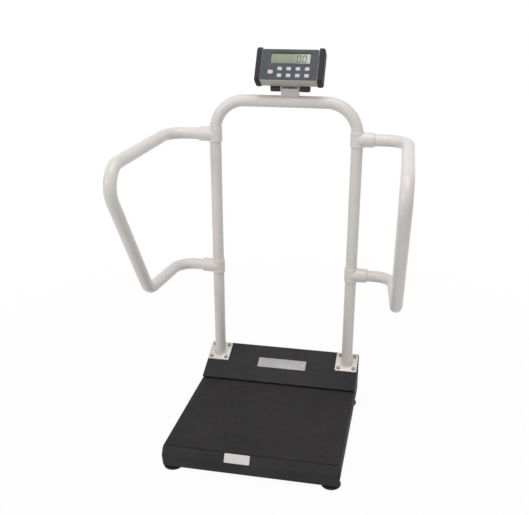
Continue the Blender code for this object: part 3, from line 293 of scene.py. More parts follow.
# Each look's colour, roughness and further detail
SURFACES = {
    "black_tray": ((0.037, 0.035, 0.036), 0.60, dict(
        vary=0.14, patch=5.0, dust=0.04, specular=0.10, **COATED)),
    "black_mat": ((0.027, 0.025, 0.026), 0.70, dict(
        vary=0.16, patch=4.0, grain=900.0, depth=0.00016, pebble=420.0, dust=0.03,
        specular=0.12)),
    "cream_paint": ((0.725, 0.685, 0.645), 0.34, dict(
        vary=0.025, patch=9.0, coat=0.15, **COATED)),
    "flange_steel": ((0.72, 0.68, 0.64), 0.36, dict(
        metal=0.35, vary=0.06, patch=24.0, grain=26.0, depth=0.00004, stretch=BRUSHED)),
    "weld": ((0.62, 0.60, 0.56), 0.40, dict(vary=0.08, patch=60.0, grain=500.0, depth=0.0003)),
    "weld_beige": ((0.46, 0.44, 0.40), 0.42, dict(
        metal=0.2, vary=0.08, patch=60.0, grain=500.0, depth=0.0003)),
    "bolt_steel": ((0.30, 0.29, 0.28), 0.36, dict(
        metal=0.8, vary=0.12, patch=90.0, grain=900.0, depth=0.00005)),
    "dark_steel": ((0.11, 0.11, 0.11), 0.38, dict(
        metal=0.85, vary=0.15, patch=90.0, grain=900.0, depth=0.00005)),
    "frame_steel": ((0.070, 0.072, 0.076), 0.50, dict(
        metal=0.2, vary=0.12, dust=0.08, **COATED)),
    "aluminium": ((0.70, 0.70, 0.68), 0.34, dict(
        metal=0.95, vary=0.05, patch=30.0, grain=20.0, depth=0.00004, stretch=BRUSHED)),
    "zinc_steel": ((0.64, 0.64, 0.62), 0.28, dict(
        metal=1.0, vary=0.08, patch=120.0, grain=600.0, depth=0.00005)),
    "black_rubber": ((0.016, 0.015, 0.016), 0.62, dict(
        vary=0.15, patch=40.0, dust=0.03, specular=0.25, **MOULDED)),
    "cap_rubber": ((0.036, 0.032, 0.035), 0.58, dict(
        vary=0.14, patch=36.0, specular=0.20, **MOULDED)),
    "shell_beige": ((0.52, 0.50, 0.46), 0.40, dict(
        metal=0.25, vary=0.05, patch=20.0, grain=22.0, depth=0.00003, stretch=BRUSHED)),
    "panel_slate": ((0.067, 0.074, 0.080), 0.50, dict(
        vary=0.14, patch=26.0, grain=1500.0, depth=0.00004, specular=0.25)),
    # Also the colour of the painted shadow strip at the top of the display's window
    "gasket": ((0.018, 0.022, 0.016), 0.60, dict(vary=0.15, patch=60.0, **MOULDED)),
    "digit_ink": ((0.085, 0.110, 0.070), 0.45, dict(
        vary=0.10, patch=80.0, grain=1500.0, depth=0.00002)),
    "key_grey": ((0.55, 0.55, 0.60), 0.46, dict(vary=0.04, patch=70.0, **MOULDED)),
    "board_green": ((0.02, 0.16, 0.07), 0.40, dict(
        vary=0.25, patch=60.0, grain=260.0, depth=0.00008)),
    "battery_grey": ((0.10, 0.10, 0.11), 0.55, dict(vary=0.12, patch=22.0, **MOULDED)),
    "knob_black": ((0.014, 0.014, 0.014), 0.42, dict(vary=0.20, patch=80.0, **MOULDED)),
    "cable_black": ((0.020, 0.020, 0.020), 0.50, dict(vary=0.15, patch=50.0, **MOULDED)),
    "plate_white": ((0.74, 0.69, 0.68), 0.45, dict(
        vary=0.04, patch=45.0, grain=1200.0, depth=0.00003)),
    "plate_silver": ((0.44, 0.43, 0.44), 0.38, dict(
        metal=0.35, vary=0.05, patch=26.0, grain=24.0, depth=0.00003, stretch=BRUSHED)),
}
LOOKS = {name: surface(name, color, rough, **more)
         for name, (color, rough, more) in SURFACES.items()}
LOOKS["lcd_green"] = screen_material()


def dress_frame():
    slots = {row["node"]: row["material_slot"] for row in frame["record"]["subparts"]}
    for node, thing in frame["nodes"].items():
        look = "cap_rubber" if node.startswith("end_cap") else slots[node]
        thing.data.materials.clear()
        thing.data.materials.append(LOOKS[look])


# Mesh helpers

def loose(form, name="loose"):
    """An object from a form, which is used up."""
    bmesh.ops.recalc_face_normals(form, faces=form.faces)
    mesh = bpy.data.meshes.new(name)
    form.to_mesh(mesh)
    form.free()
    thing = bpy.data.objects.new(name, mesh)
    bpy.context.scene.collection.objects.link(thing)
    return thing


def place(name, form, look, body="base", where=HERE, stands_for=(), angle=32.0):
    """A finished piece on a body. Edges sharper than the angle, in degrees, stay sharp."""
    thing = loose(form, name)
    mesh = thing.data
    mesh.transform(where)
    mesh.materials.append(LOOKS[look])
    mesh.shade_smooth()
    mesh.set_sharp_from_angle(angle=math.radians(angle))
    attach(thing, body)
    if stands_for:
        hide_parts(*stands_for)


def loft(loops, closed=False):
    form = bmesh.new()
    add_loft(form, loops, closed)
    return form


def add_loft(form, loops, closed=False):
    rings = [[form.verts.new(point) for point in loop] for loop in loops]
    count = len(rings[0])
    pairs = list(zip(rings, rings[1:]))
    if closed:
        pairs.append((rings[-1], rings[0]))
    for lower, upper in pairs:
        for index in range(count):
            after = (index + 1) % count
            form.faces.new((lower[index], lower[after], upper[after], upper[index]))
    if not closed:
        form.faces.new(rings[0])
        form.faces.new(rings[-1])


def raised(outline, level):
    return [(x, y, level) for x, y in outline]


def circle(radius, sides, phase=0.0):
    step = 2 * math.pi / sides
    return [(radius * math.cos(phase + step * i), radius * math.sin(phase + step * i))
            for i in range(sides)]


def rounded_rectangle(width, height, radius, steps=6):
    points = []
    for side_x, side_y, turn in ((1, 1, 0), (-1, 1, 1), (-1, -1, 2), (1, -1, 3)):
        for step in range(steps + 1):
            angle = math.pi / 2 * (turn + step / steps)
            points.append((side_x * (width / 2 - radius) + radius * math.cos(angle),
                           side_y * (height / 2 - radius) + radius * math.sin(angle)))
    return points


def quarter_turn(steps):
    return [math.pi / 2 * i / steps for i in range(steps + 1)]


def pad(width, height, corner, low, high, edge, both=True, steps=3):
    """A rounded rectangle between two heights, with its top edge, or both, rounded over."""
    def ring(inset, level):
        return raised(rounded_rectangle(width - 2 * inset, height - 2 * inset,
                                        max(corner - inset, edge / 8)), level)
    if both:
        loops = [ring(edge * (1 - math.sin(a)), low + edge * (1 - math.cos(a)))
                 for a in quarter_turn(steps)]
    else:
        loops = [ring(0.0, low)]
    return loft(loops + [ring(edge * (1 - math.cos(a)), high - edge * (1 - math.sin(a)))
                         for a in quarter_turn(steps)])


def turned(profile, sides):
    return [raised(circle(radius, sides), level) for radius, level in profile]


def lathe(profile, sides):
    return loft(turned(profile, sides))


def rounded_profile(radius, low, high, edge, steps=3):
    quarter = quarter_turn(steps)
    return ([(radius - edge * (1 - math.sin(a)), low + edge * (1 - math.cos(a)))
             for a in quarter]
            + [(radius - edge * (1 - math.cos(a)), high - edge * (1 - math.sin(a)))
               for a in quarter])


def bent_path(corners, radius, steps):
    """A line through the corners, with an arc at each bend."""
    points = [Vector(corners[0])]
    for before, corner, after in zip(corners, corners[1:], corners[2:]):
        here = Vector(corner)
        back = (Vector(before) - here).normalized()
        ahead = (Vector(after) - here).normalized()
        angle = back.angle(ahead)
        reach = radius / math.tan(angle / 2)
        centre = here + (back + ahead).normalized() * (radius / math.sin(angle / 2))
        first = here + back * reach - centre
        last = here + ahead * reach - centre
        sweep = first.angle(last)
        for step in range(steps + 1):
            share = step / steps
            points.append(centre + (first * math.sin((1 - share) * sweep)
                                    + last * math.sin(share * sweep)) / math.sin(sweep))
    points.append(Vector(corners[-1]))
    return points


def tube_loops(points, radius):
    loops = []
    up = None
    for index, point in enumerate(points):
        before = points[max(index - 1, 0)]
        after = points[min(index + 1, len(points) - 1)]
        along = (after - before).normalized()
        if up is None:
            up = along.orthogonal().normalized()
        up = (up - along * up.dot(along)).normalized()
        side = along.cross(up)
        loops.append([point + up * x + side * y for x, y in circle(radius, TUBE_SIDES)])
    return loops


def hollow_tube(points):
    outer = tube_loops(points, TUBE_RADIUS)
    inner = tube_loops(points, TUBE_RADIUS - TUBE_WALL)
    return loft(outer + inner[::-1], closed=True)


def cylinder(radius, start, end):
    start = Vector(start)
    end = Vector(end)
    turn = (end - start).to_track_quat("Z", "Y").to_matrix()
    return loft([[base + turn @ Vector((x, y, 0.0)) for x, y in circle(radius, TUBE_SIDES)]
                 for base in (start, end)])


def modified(thing, others):
    """The form of a loose object after its modifiers. It and the others are removed."""
    bpy.context.view_layer.update()
    shape = thing.evaluated_get(bpy.context.evaluated_depsgraph_get())
    form = bmesh.new()
    form.from_mesh(shape.data)
    for old in (thing, *others):
        bpy.data.objects.remove(old, do_unlink=True)
    return form


def boolean(thing, other, operation):
    change = thing.modifiers.new(operation, "BOOLEAN")
    change.operation = operation
    change.solver = "EXACT"
    change.object = other


def cut_form(form, cutters):
    thing = loose(form)
    others = [loose(cutter, "cutter") for cutter in cutters]
    for other in others:
        boolean(thing, other, "DIFFERENCE")
    return modified(thing, others)


def at(x, y, z=0.0):
    return Matrix.Translation((x, y, z))


def facing(point, direction):
    """A frame at a point whose +Z looks along a direction."""
    turn = Vector(direction).to_track_quat("Z", "Y").to_matrix().to_4x4()
    return Matrix.Translation(point) @ turn


# Fasteners

HEX_CHAMFER = 0.14
HEX_SIDES = 6
BOLT_SIDES = 40
SCREW_SIDES = 28
STUD_SIDES = 32
SET_SCREW_RADIUS = 0.0035
SET_SCREW_HEIGHT = 0.0013
SET_SCREW_SOCKET = 0.0017
SET_SCREW_SOCKET_LEVELS = (0.0004, 0.004)


def hex_head(radius, low, high):
    chamfer = radius * HEX_CHAMFER
    return [raised(circle(size, HEX_SIDES, math.pi / HEX_SIDES), level) for size, level in
            ((radius, low), (radius, high - chamfer), (radius - chamfer, high))]


def add_hex_bolt(name, radius, height, where, look, stands_for=()):
    """A washer, a chamfered hexagon on it, and the low dome of the hexagon's top."""
    washer = height * 0.18
    form = loft(turned(rounded_profile(radius * 1.08, 0.0, washer, height * 0.06, 2),
                       BOLT_SIDES))
    add_loft(form, hex_head(radius, washer, height))
    top = height + radius * 0.05
    add_loft(form, turned(((radius * 0.70, height * 0.9), (radius * 0.62, height + 0.0001),
                           (radius * 0.35, top), (radius * 0.05, top)), BOLT_SIDES))
    place(name, form, look, where=where, stands_for=stands_for)


def add_screw(name, radius, where, body, look="zinc_steel"):
    """A domed cross-head screw, seated on its frame's XY plane."""
    height = radius * 0.55
    profile = [(radius, 0.0), (radius * 0.98, height * 0.45), (radius * 0.82, height * 0.80),
               (radius * 0.50, height), (radius * 0.05, height * 1.04)]
    cutters = []
    for turn in (0.0, math.pi / 2):
        groove = pad(radius * 1.1, radius * 0.26, radius * 0.05, height * 0.45, height * 2.0,
                     radius * 0.02, steps=1)
        groove.transform(Matrix.Rotation(turn, 4, "Z"))
        cutters.append(groove)
    place(name, cut_form(lathe(profile, SCREW_SIDES), cutters), look, body, where)


def add_set_screw(name, where):
    socket = loft([raised(circle(SET_SCREW_SOCKET, HEX_SIDES), level)
                   for level in SET_SCREW_SOCKET_LEVELS])
    head = lathe(rounded_profile(SET_SCREW_RADIUS, 0.0, SET_SCREW_HEIGHT, 0.0003, 2),
                 STUD_SIDES)
    place(name, cut_form(head, [socket]), "dark_steel", where=where)


# Posts, rails and sleeves

TUBE_SIDES = 56
HOOP_STEPS = 20
RAIL_STEPS = 18
# Radius, ripple and largest random growth of a bead, how far its middle stands out of the
# post and above the flange, and its points along and around
POST_BEAD = (0.0026, 0.00035, 0.0002)
POST_BEAD_OUT = 0.0009
POST_BEAD_UP = 0.0008
POST_BEAD_POINTS = (96, 12)
SLEEVE_SIDES = 64
SLEEVE_EDGE = 0.0022
# Radius and reach of the sleeve's branch
SLEEVE_BRANCH = ((0.0268, 0.0), (0.0268, 0.030), (0.0264, 0.048), (0.0258, 0.0585),
                 (0.0250, SLEEVE_REACH - 0.0012), (0.0236, SLEEVE_REACH))
SLEEVE_VOXEL = 0.0011
SLEEVE_SMOOTHING = (0.5, 10)
# How far a sleeve's set screws stand behind the tubes' centre lines, and their shares of the
# collar's half height and of the branch's reach
POST_SCREW_BACK = SLEEVE_RADIUS - 0.0009
RAIL_SCREW_BACK = 0.0252
POST_SCREW_RISE = 0.45
RAIL_SCREW_OUT = 0.72
# Radius and height of a flange bolt's head, and its turn in degrees: the first bolt's, what
# each further bolt adds, and what the side adds
FLANGE_BOLT = (0.0070, 0.0055)
FLANGE_BOLT_TURNS = (17.0, 23.0, 9.0)
FLANGE_EDGE = 0.0010
BOLT_PLATE_MARGINS = 0.014
BOLT_PLATE_EDGE = 0.0006


def make_hoop():
    foot = LIP_TOP + (POST_Y - HOUSING_FRONT) * math.tan(SLOPE_ANGLE) - TUBE_RADIUS
    corners = ((-POST_X, POST_Y, foot), (-POST_X, POST_Y, HOOP_HEIGHT),
               (POST_X, POST_Y, HOOP_HEIGHT), (POST_X, POST_Y, foot))
    cutters = []
    for _, side in SIDES:
        block = 4 * TUBE_RADIUS
        cutter = pad(block, block, block / 8, -block, FLANGE_TOP + GAP, block / 40, steps=1)
        cutter.transform(SLOPE @ at(side * POST_X, POST_ALONG))
        cutters.append(cutter)
    tube = hollow_tube(bent_path(corners, HOOP_BEND, HOOP_STEPS))
    place("hoop_tube", cut_form(tube, cutters), "cream_paint", stands_for=["post_hoop"],
          angle=40.0)


def make_weld(name, side):
    """A rippled bead where the post meets its flange."""
    rng = random.Random(name)
    radius, ripple, growth = POST_BEAD
    count, around = POST_BEAD_POINTS
    reach = TUBE_RADIUS + POST_BEAD_OUT
    rings = []
    for index in range(count):
        angle = 2 * math.pi * index / count
        centre = Vector((side * POST_X + reach * math.cos(angle),
                         POST_ALONG + reach * math.sin(angle) / math.cos(SLOPE_ANGLE),
                         FLANGE_TOP + POST_BEAD_UP))
        out = Vector((math.cos(angle), math.sin(angle), 0.0))
        size = radius + ripple * math.sin(index * math.pi / 2) + rng.uniform(0.0, growth)
        rings.append([centre + out * (size * math.cos(turn))
                      + Vector((0, 0, size * math.sin(turn)))
                      for turn in (2 * math.pi * i / around for i in range(around))])
    place(name, loft(rings, closed=True), "weld", where=SLOPE, angle=60.0)


def make_rail(name, side):
    upper, lower = RAIL_HEIGHTS
    corners = ((side * (POST_X + RAIL_START), POST_Y, upper),
               (side * (POST_X + RAIL_OUTS[0]), POST_Y, upper),
               (side * (POST_X + RAIL_FRONT_OUTS[0]), POST_Y - RAIL_REACHES[0],
                RAIL_FRONT_HEIGHTS[0]),
               (side * (POST_X + RAIL_FRONT_OUTS[1]), POST_Y - RAIL_REACHES[1],
                RAIL_FRONT_HEIGHTS[1]),
               (side * (POST_X + RAIL_OUTS[1]), POST_Y, lower),
               (side * (POST_X + RAIL_START), POST_Y, lower))
    form = hollow_tube(bent_path(corners, RAIL_BEND, RAIL_STEPS))
    place(f"rail_tube_{name}", form, "cream_paint", stands_for=[f"handrail_{name}"],
          angle=50.0)


def make_sleeve(level, name, side, height):
    """A cast T sleeve: collar on the post, branch on the rail, with a soft fillet between."""
    half = SLEEVE_HEIGHT / 2
    collar = lathe(rounded_profile(SLEEVE_RADIUS, height - half, height + half, SLEEVE_EDGE),
                   SLEEVE_SIDES)
    collar.transform(at(side * POST_X, POST_Y))
    rings = [[Vector((reach, x, y)) for x, y in circle(radius, SLEEVE_SIDES)]
             for radius, reach in SLEEVE_BRANCH]
    branch = loft([[Vector((side * (POST_X + p.x), POST_Y + p.y, height + p.z))
                    for p in ring] for ring in rings])
    body = loose(collar)
    arm = loose(branch, "arm")
    boolean(body, arm, "UNION")
    remesh = body.modifiers.new("even", "REMESH")
    remesh.mode = "VOXEL"
    remesh.voxel_size = SLEEVE_VOXEL
    soften = body.modifiers.new("fillet", "SMOOTH")
    soften.factor, soften.iterations = SLEEVE_SMOOTHING
    bore = TUBE_RADIUS + GAP / 2
    cutters = [cylinder(bore, (side * POST_X, POST_Y, height - 2 * half),
                        (side * POST_X, POST_Y, height + 2 * half)),
               cylinder(bore, (side * (POST_X + RAIL_START - GAP), POST_Y, height),
                        (side * (POST_X + 2 * SLEEVE_REACH), POST_Y, height))]
    place(f"sleeve_cast_{level}_{name}", cut_form(modified(body, [arm]), cutters),
          "cream_paint", stands_for=[f"sleeve_{level}_{name}"], angle=50.0)
    for tube, seat in (
            ("post", (side * POST_X, POST_Y + POST_SCREW_BACK, height + half * POST_SCREW_RISE)),
            ("rail", (side * (POST_X + SLEEVE_REACH * RAIL_SCREW_OUT),
                      POST_Y + RAIL_SCREW_BACK, height))):
        add_set_screw(f"sleeve_screw_{level}_{name}_{tube}", facing(seat, (0, 1, 0)))


def make_flange(name, side):
    where = SLOPE @ at(side * POST_X, POST_ALONG)
    form = pad(FLANGE_WIDTH, FLANGE_LENGTH, FLANGE_CORNER, GAP, FLANGE_TOP, FLANGE_EDGE)
    place(f"flange_plate_{name}", form, "flange_steel", where=where,
          stands_for=[f"post_flange_{name}"])
    plate_top = -(HOUSING_WALL + GAP + BRACKET_WALL + GAP)
    form = pad(FLANGE_WIDTH - BOLT_PLATE_MARGINS, FLANGE_LENGTH - BOLT_PLATE_MARGINS,
               FLANGE_CORNER, plate_top - BOLT_PLATE_THICKNESS, plate_top, BOLT_PLATE_EDGE)
    place(f"backing_plate_{name}", form, "dark_steel", where=where,
          stands_for=[f"flange_bolts_{name}"])
    reach_x = FLANGE_WIDTH / 2 - FLANGE_BOLT_INSET
    reach_y = FLANGE_LENGTH / 2 - FLANGE_BOLT_INSET
    first, per_bolt, per_side = FLANGE_BOLT_TURNS
    for number, (i, j) in enumerate(CORNERS):
        seat = where @ at(i * reach_x, j * reach_y, FLANGE_TOP)
        degrees = first + per_bolt * number + per_side * side
        add_hex_bolt(f"flange_bolt_{name}_{number}", *FLANGE_BOLT,
                     seat @ Matrix.Rotation(math.radians(degrees), 4, "Z"), "bolt_steel",
                     [f"flange_bolts_{name}"])


# Base

# The tray's form from its lower edge up: height, half width, and distance behind FRONT_Y.
# Its sides bulge a little and roll over into the top.
TRAY_OUTER = ((0.0160, 0.3050, 0.0008), (0.0165, 0.3055, 0.0005), (0.0300, 0.3070, 0.0002),
              (0.0460, 0.3080, 0.0000), (0.0520, 0.3083, 0.0002), (0.0560, 0.3084, 0.0009),
              (0.0600, 0.3084, 0.00235), (0.0740, 0.3080, 0.01055), (0.0790, 0.3074, 0.01348),
              (0.0825, 0.3062, 0.01554), (0.0846, 0.3046, 0.0171), (0.0860, 0.3030, 0.0189),
              (0.0867, 0.3006, 0.0216))
TRAY_INNER = ((0.0837, 0.2980, 0.0215), (0.0800, 0.3036, 0.0172), (0.0740, 0.3048, 0.0136),
              (0.0600, 0.3054, 0.0054), (0.0520, 0.3053, 0.0032), (0.0300, 0.3040, 0.0032),
              (0.0160, 0.3022, 0.0036))
TRAY_WALL = 0.003
TRAY_CORNER = 0.010
TRAY_CORNER_STEPS = 8
TRAY_OPENING_WIDTH = 0.603
TRAY_OPENING_TOP = 0.0836
MAT_EDGE = 0.0012
PLATE_CENTRE = (0.003, 0.097)
# Width, height, corner, lower and upper level, and edge
PLATE = (0.194, 0.048, 0.003, GAP, GAP + 0.0010, 0.0003)
# Width, height, corner and level of the raised rim's four edges
PLATE_RIM = ((0.192, 0.046, 0.0026, 0.0010), (0.1915, 0.0455, 0.0024, 0.0016),
             (0.1885, 0.0425, 0.0016, 0.0016), (0.188, 0.042, 0.0014, 0.0010))
RIVET_REACH = 0.088
RIVET_LEVEL = GAP + 0.0009
RIVET = ((0.0026, 0.0), (0.0025, 0.0006), (0.0017, 0.0013), (0.0002, 0.0016))
FOOT_SIDES = 64
FOOT_CUP = ((0.0307, 0.0), (0.0326, 0.0006), (0.0335, 0.0024), (0.0335, 0.0066),
            (0.0330, 0.0078), (0.0312, 0.0088), (0.0240, 0.0096), (0.0170, 0.0106),
            (0.0132, 0.0117), (0.0122, 0.0120), (0.0079, 0.0120), (0.0075, 0.0116),
            (0.0075, 0.0050))
STUD_FOOT = ((0.0062, 0.0053), (0.0072, 0.0063), (0.0072, 0.0120), (0.0064, 0.0130),
             (0.0050, 0.0134))
THREAD_ROOT = 0.0044
THREAD_CREST = 0.0050
THREAD_PITCH = 0.0015
THREAD_LEVELS = (0.0242, 0.0590)
HEXAGON_RADIUS = 0.0085
COLLAR_LEVELS = (0.0160, 0.0230)
NUT_HEIGHT = 0.0070
NUT_BORE = 0.0053
# Radius and height of a load cell bolt's head, and how far each stands from the cell's root
CELL_BOLT = (0.0065, 0.0052)
CELL_BOLT_REACHES = (0.013, 0.037)
# Lower and upper level, and edge, of the junction box's body and lid
JUNCTION_SHELLS = {"body": (0.0560, 0.0814, 0.0020), "lid": (0.0514, 0.0556, 0.0016)}
JUNCTION_CORNER = 0.005
JUNCTION_SCREW = 0.0032
JUNCTION_SCREW_INSET = 0.007


def tray_ring(level, half, setback, rear):
    centre_x = half - TRAY_CORNER
    centre_y = FRONT_Y + setback + TRAY_CORNER
    ring = [(half, rear, level), (-half, rear, level)]
    for turn, side in ((2, -1), (3, 1)):
        for step in range(TRAY_CORNER_STEPS + 1):
            angle = math.pi / 2 * (turn + step / TRAY_CORNER_STEPS)
            ring.append((side * centre_x + TRAY_CORNER * math.cos(angle),
                         centre_y + TRAY_CORNER * math.sin(angle), level))
    return ring


def make_tray():
    """The platform's tray: a thin formed sheet, open below and towards the housing."""
    rear = HOUSING_FRONT + HOUSING_LIP_DEPTH - GAP
    rings = [tray_ring(*row, rear - TRAY_WALL) for row in TRAY_INNER]
    rings += [tray_ring(*row, rear) for row in TRAY_OUTER]
    opening = pad(TRAY_OPENING_WIDTH, 4 * TRAY_WALL, TRAY_WALL, 0.0, TRAY_OPENING_TOP,
                  TRAY_WALL / 10, steps=1)
    opening.transform(at(0.0, rear))
    place("tray_sheet", cut_form(loft(rings), [opening]), "black_tray",
          stands_for=["platform_tray"], angle=35.0)


def make_mat():
    length = HOUSING_FRONT - GAP - (FRONT_Y + SHOULDER_INSET)
    form = pad(BASE_WIDTH - 2 * MAT_SIDE_INSET, length, MAT_CORNER,
               PLATFORM_HEIGHT - MAT_THICKNESS, PLATFORM_HEIGHT, MAT_EDGE, both=False)
    place("mat_sheet", form, "black_mat",
          where=at(0.0, FRONT_Y + SHOULDER_INSET + length / 2), stands_for=["platform_mat"])


def make_plates():
    """The housing's plate, with a raised rim and a rivet at each end."""
    where = SLOPE @ at(*PLATE_CENTRE)
    place("housing_plate_face", pad(*PLATE, both=False), "plate_silver", where=where,
          stands_for=["housing_plate"])
    rim = loft([raised(rounded_rectangle(w, h, r), z) for w, h, r, z in PLATE_RIM],
               closed=True)
    place("housing_plate_rim", rim, "plate_silver", where=where @ at(0.0, 0.0, GAP))
    for number, side in enumerate((-1, 1)):
        place(f"housing_plate_rivet_{number}", lathe(RIVET, SCREW_SIDES), "aluminium",
              where=where @ at(side * RIVET_REACH, 0.0, RIVET_LEVEL))


def make_foot(end_name, end, side_name, side):
    """A rubber pad, a threaded stud with its collar, and the load cell's nut and bolts."""
    label = f"{end_name}_{side_name}"
    where = at(side * FOOT_X, FOOT_Y[end_name])
    place(f"foot_cup_{label}", lathe(FOOT_CUP, FOOT_SIDES), "black_rubber", f"foot_{label}",
          where, [f"foot_pad_{label}"])
    thread = list(STUD_FOOT)
    level, top = THREAD_LEVELS
    while level < top:
        thread += [(THREAD_ROOT, level), (THREAD_CREST, level + 0.0006),
                   (THREAD_CREST, level + 0.0009)]
        level += THREAD_PITCH
    thread += [(THREAD_ROOT, level), (0.0030, level + 0.0004)]
    place(f"stud_thread_{label}", lathe(thread, STUD_SIDES), "zinc_steel", f"stud_{label}",
          where, [f"foot_stud_{label}"])
    place(f"stud_collar_{label}", loft(hex_head(HEXAGON_RADIUS, *COLLAR_LEVELS)),
          "zinc_steel", f"stud_{label}", where, [f"foot_stud_{label}"])
    nut = cut_form(loft(hex_head(HEXAGON_RADIUS, CELL_BOTTOM - NUT_HEIGHT,
                                 CELL_BOTTOM - GAP)),
                   [cylinder(NUT_BORE, (0, 0, 0.02), (0, 0, 0.05))])
    place(f"lock_nut_{label}", nut, "zinc_steel", where=where)
    root = FOOT_Y[end_name] + end * CELL_FREE_LENGTH - end * CELL_LENGTH
    for number, reach in enumerate(CELL_BOLT_REACHES):
        seat = facing((side * FOOT_X, root + end * reach, CELL_BOTTOM), (0, 0, -1))
        add_hex_bolt(f"cell_bolt_{label}_{number}", *CELL_BOLT, seat, "zinc_steel")


def make_junction_box():
    centre_y = JUNCTION_FRONT + JUNCTION_SIZE[1] / 2
    for name, levels in JUNCTION_SHELLS.items():
        place(f"junction_{name}", pad(*JUNCTION_SIZE, JUNCTION_CORNER, *levels),
              "battery_grey", where=at(0.0, centre_y), stands_for=["junction_box"])
    reach_x, reach_y = (size / 2 - JUNCTION_SCREW_INSET for size in JUNCTION_SIZE)
    for number, (i, j) in enumerate(CORNERS):
        seat = facing((i * reach_x, centre_y + j * reach_y, JUNCTION_SHELLS["lid"][0]),
                      (0, 0, -1))
        add_screw(f"junction_screw_{number}", JUNCTION_SCREW, seat, "base")


# Neck, knobs and display

KNOB_POINTS = 144
KNOB_FLUTE = 0.055
KNOB_PLAIN_SHARE = 0.65
# Distance from the knob's nearer end, or before its outer end, and share of the radius
KNOB_INNER = ((0.0, 0.80), (0.0008, 0.90), (0.0022, 0.97), (0.0045, 1.0))
KNOB_OUTER = ((0.0060, 1.0), (0.0030, 0.985), (0.0012, 0.94), (0.0003, 0.84), (0.0, 0.72),
              (0.0002, 0.60), (0.0014, 0.55), (0.0016, 0.06))
SHANK_RADIUS = 0.0040
SHANK_INWARD = 0.0076
SHANK_OUTWARD = 0.002
NECK_BEAD = (0.0019, 0.00025, 0.00015)
NECK_BEAD_POINTS = (72, 14)
NECK_BEAD_PHASE = 1.9
# Thickness of the bead's very ends, as a share, and how fast it grows along the bead
NECK_BEAD_TAPER = (0.12, 8.0)
CAP_GROOVES = (0.0042, 0.0088)
# Distance from a groove's start, and inset
CAP_GROOVE = ((0.0, 0.0), (0.0003, 0.0006), (0.0011, 0.0006), (0.0014, 0.0))
CAP_ROUND = 0.0072
CAP_SCREW = 0.0034
CAP_SCREW_SINK = 0.0002
CAP_SCREW_HEIGHTS = (0.022, 0.092)
KEY_EDGE = 0.0008
# Inset and drop of the rings over a key's crown
KEY_CROWN = ((0.0002, 0.0004), (0.0006, 0.00015), (0.0012, 0.0), (0.0030, -0.0002),
             (0.0048, -0.0003))
GLASS_DEPTH = 0.0012
SCREEN_MARGINS = 0.008
FIGURE_HEIGHT = 0.0270
FIGURE_WIDTH = 0.0150
FIGURE_BAR = 0.0034
FIGURE_LEFTS = (0.0225, 0.0425)
FIGURE_BOTTOM = LCD_BOTTOM + 0.0046
FIGURE_LEAN = 0.07
FIGURE_POINT = (0.0402, 0.0017, 0.0015)
BAR_GAP = 0.0004
INK = 0.00012
# Side, share of the height, and whether it lies, for each bar of a nought
NOUGHT = ((0, 1, 1), (1, 0.75, 0), (1, 0.25, 0), (0, 0, 1), (-1, 0.25, 0), (-1, 0.75, 0))
# Growth in width, rise of the bottom, drop of the top, and level of the rim's four edges
# A dark gasket round the display's window; the deep drop of its top is painted shadow from the
# window's top wall
SCREEN_GASKET_AND_PAINTED_SHADOW = ((0.0, 0.0, 0.0, -SHELL_FRONT + GAP), (0.0, 0.0, 0.0, FACE_FORWARD - 0.0004),
              (-0.0009, 0.0009, 0.0034, FACE_FORWARD - 0.0007),
              (-0.0009, 0.0009, 0.0034, -SHELL_FRONT + GAP))
SCREEN_RIM_GAP = 0.0002
# Width, height, corner, lower and upper level, and edge
RIB = (0.040, 0.0016, 0.0007, COVER_THICKNESS - 0.0002, COVER_THICKNESS + 0.0007, 0.0003)
RIB_PITCH = 0.004
RIB_COUNT = 5
COVER_CORNER = 0.004
COVER_EDGE = 0.0008
COVER_SCREW = 0.0030
COVER_SCREW_INSET = 0.006


def make_knob(name, side):
    """A fluted grip with a dished end, and the steel shank that it turns."""
    start = NECK_WIDTH / 2 + 2 * GAP + YOKE_WALL
    stations = [*KNOB_INNER, *((KNOB_LENGTH - back, share) for back, share in KNOB_OUTER)]
    loops = []
    for reach, share in stations:
        ring = []
        for index in range(KNOB_POINTS):
            angle = 2 * math.pi * index / KNOB_POINTS
            flute = KNOB_FLUTE * (1 - math.cos(KNOB_LOBES * angle)) ** 1.5 / 2
            if share <= KNOB_PLAIN_SHARE:
                flute = 0.0
            radius = KNOB_RADIUS * share * (1.0 - flute)
            ring.append((side * (start + reach), radius * math.cos(angle),
                         radius * math.sin(angle)))
        loops.append(ring)
    where = at(NECK_OFFSET, POST_Y, PIVOT_Z)
    place(f"knob_grip_{name}", loft(loops), "knob_black", f"knob_{name}", where,
          [f"tilt_knob_{name}"])
    shank = lathe([(SHANK_RADIUS, start - SHANK_INWARD), (SHANK_RADIUS, start + SHANK_OUTWARD)],
                  STUD_SIDES)
    place(f"knob_shank_{name}", shank, "zinc_steel", f"knob_{name}",
          where @ Matrix.Rotation(side * math.pi / 2, 4, "Y"))


def make_neck_weld(name, side):
    """A rippled bead where a wall of the neck meets the top of the hoop."""
    rng = random.Random(name)
    radius, ripple, growth = NECK_BEAD
    thinnest, growing = NECK_BEAD_TAPER
    count, around = NECK_BEAD_POINTS
    rise = math.sqrt(TUBE_RADIUS ** 2 - (NECK_DEPTH / 2) ** 2)
    rings = []
    for index in range(count + 1):
        x = (index / count - 0.5) * (NECK_WIDTH - 0.001)
        share = min(1.0, thinnest + growing * min(index, count - index) / count)
        ends = math.sin(math.pi * share / 2)
        size = (radius + ripple * math.sin(index * NECK_BEAD_PHASE)
                + rng.uniform(0.0, growth)) * ends
        rings.append([(NECK_OFFSET + x, POST_Y + side * (NECK_DEPTH / 2 + size * b),
                       HOOP_HEIGHT + rise + size * c) for b, c in circle(1.0, around)])
    place(name, loft(rings), "weld_beige", angle=60.0)


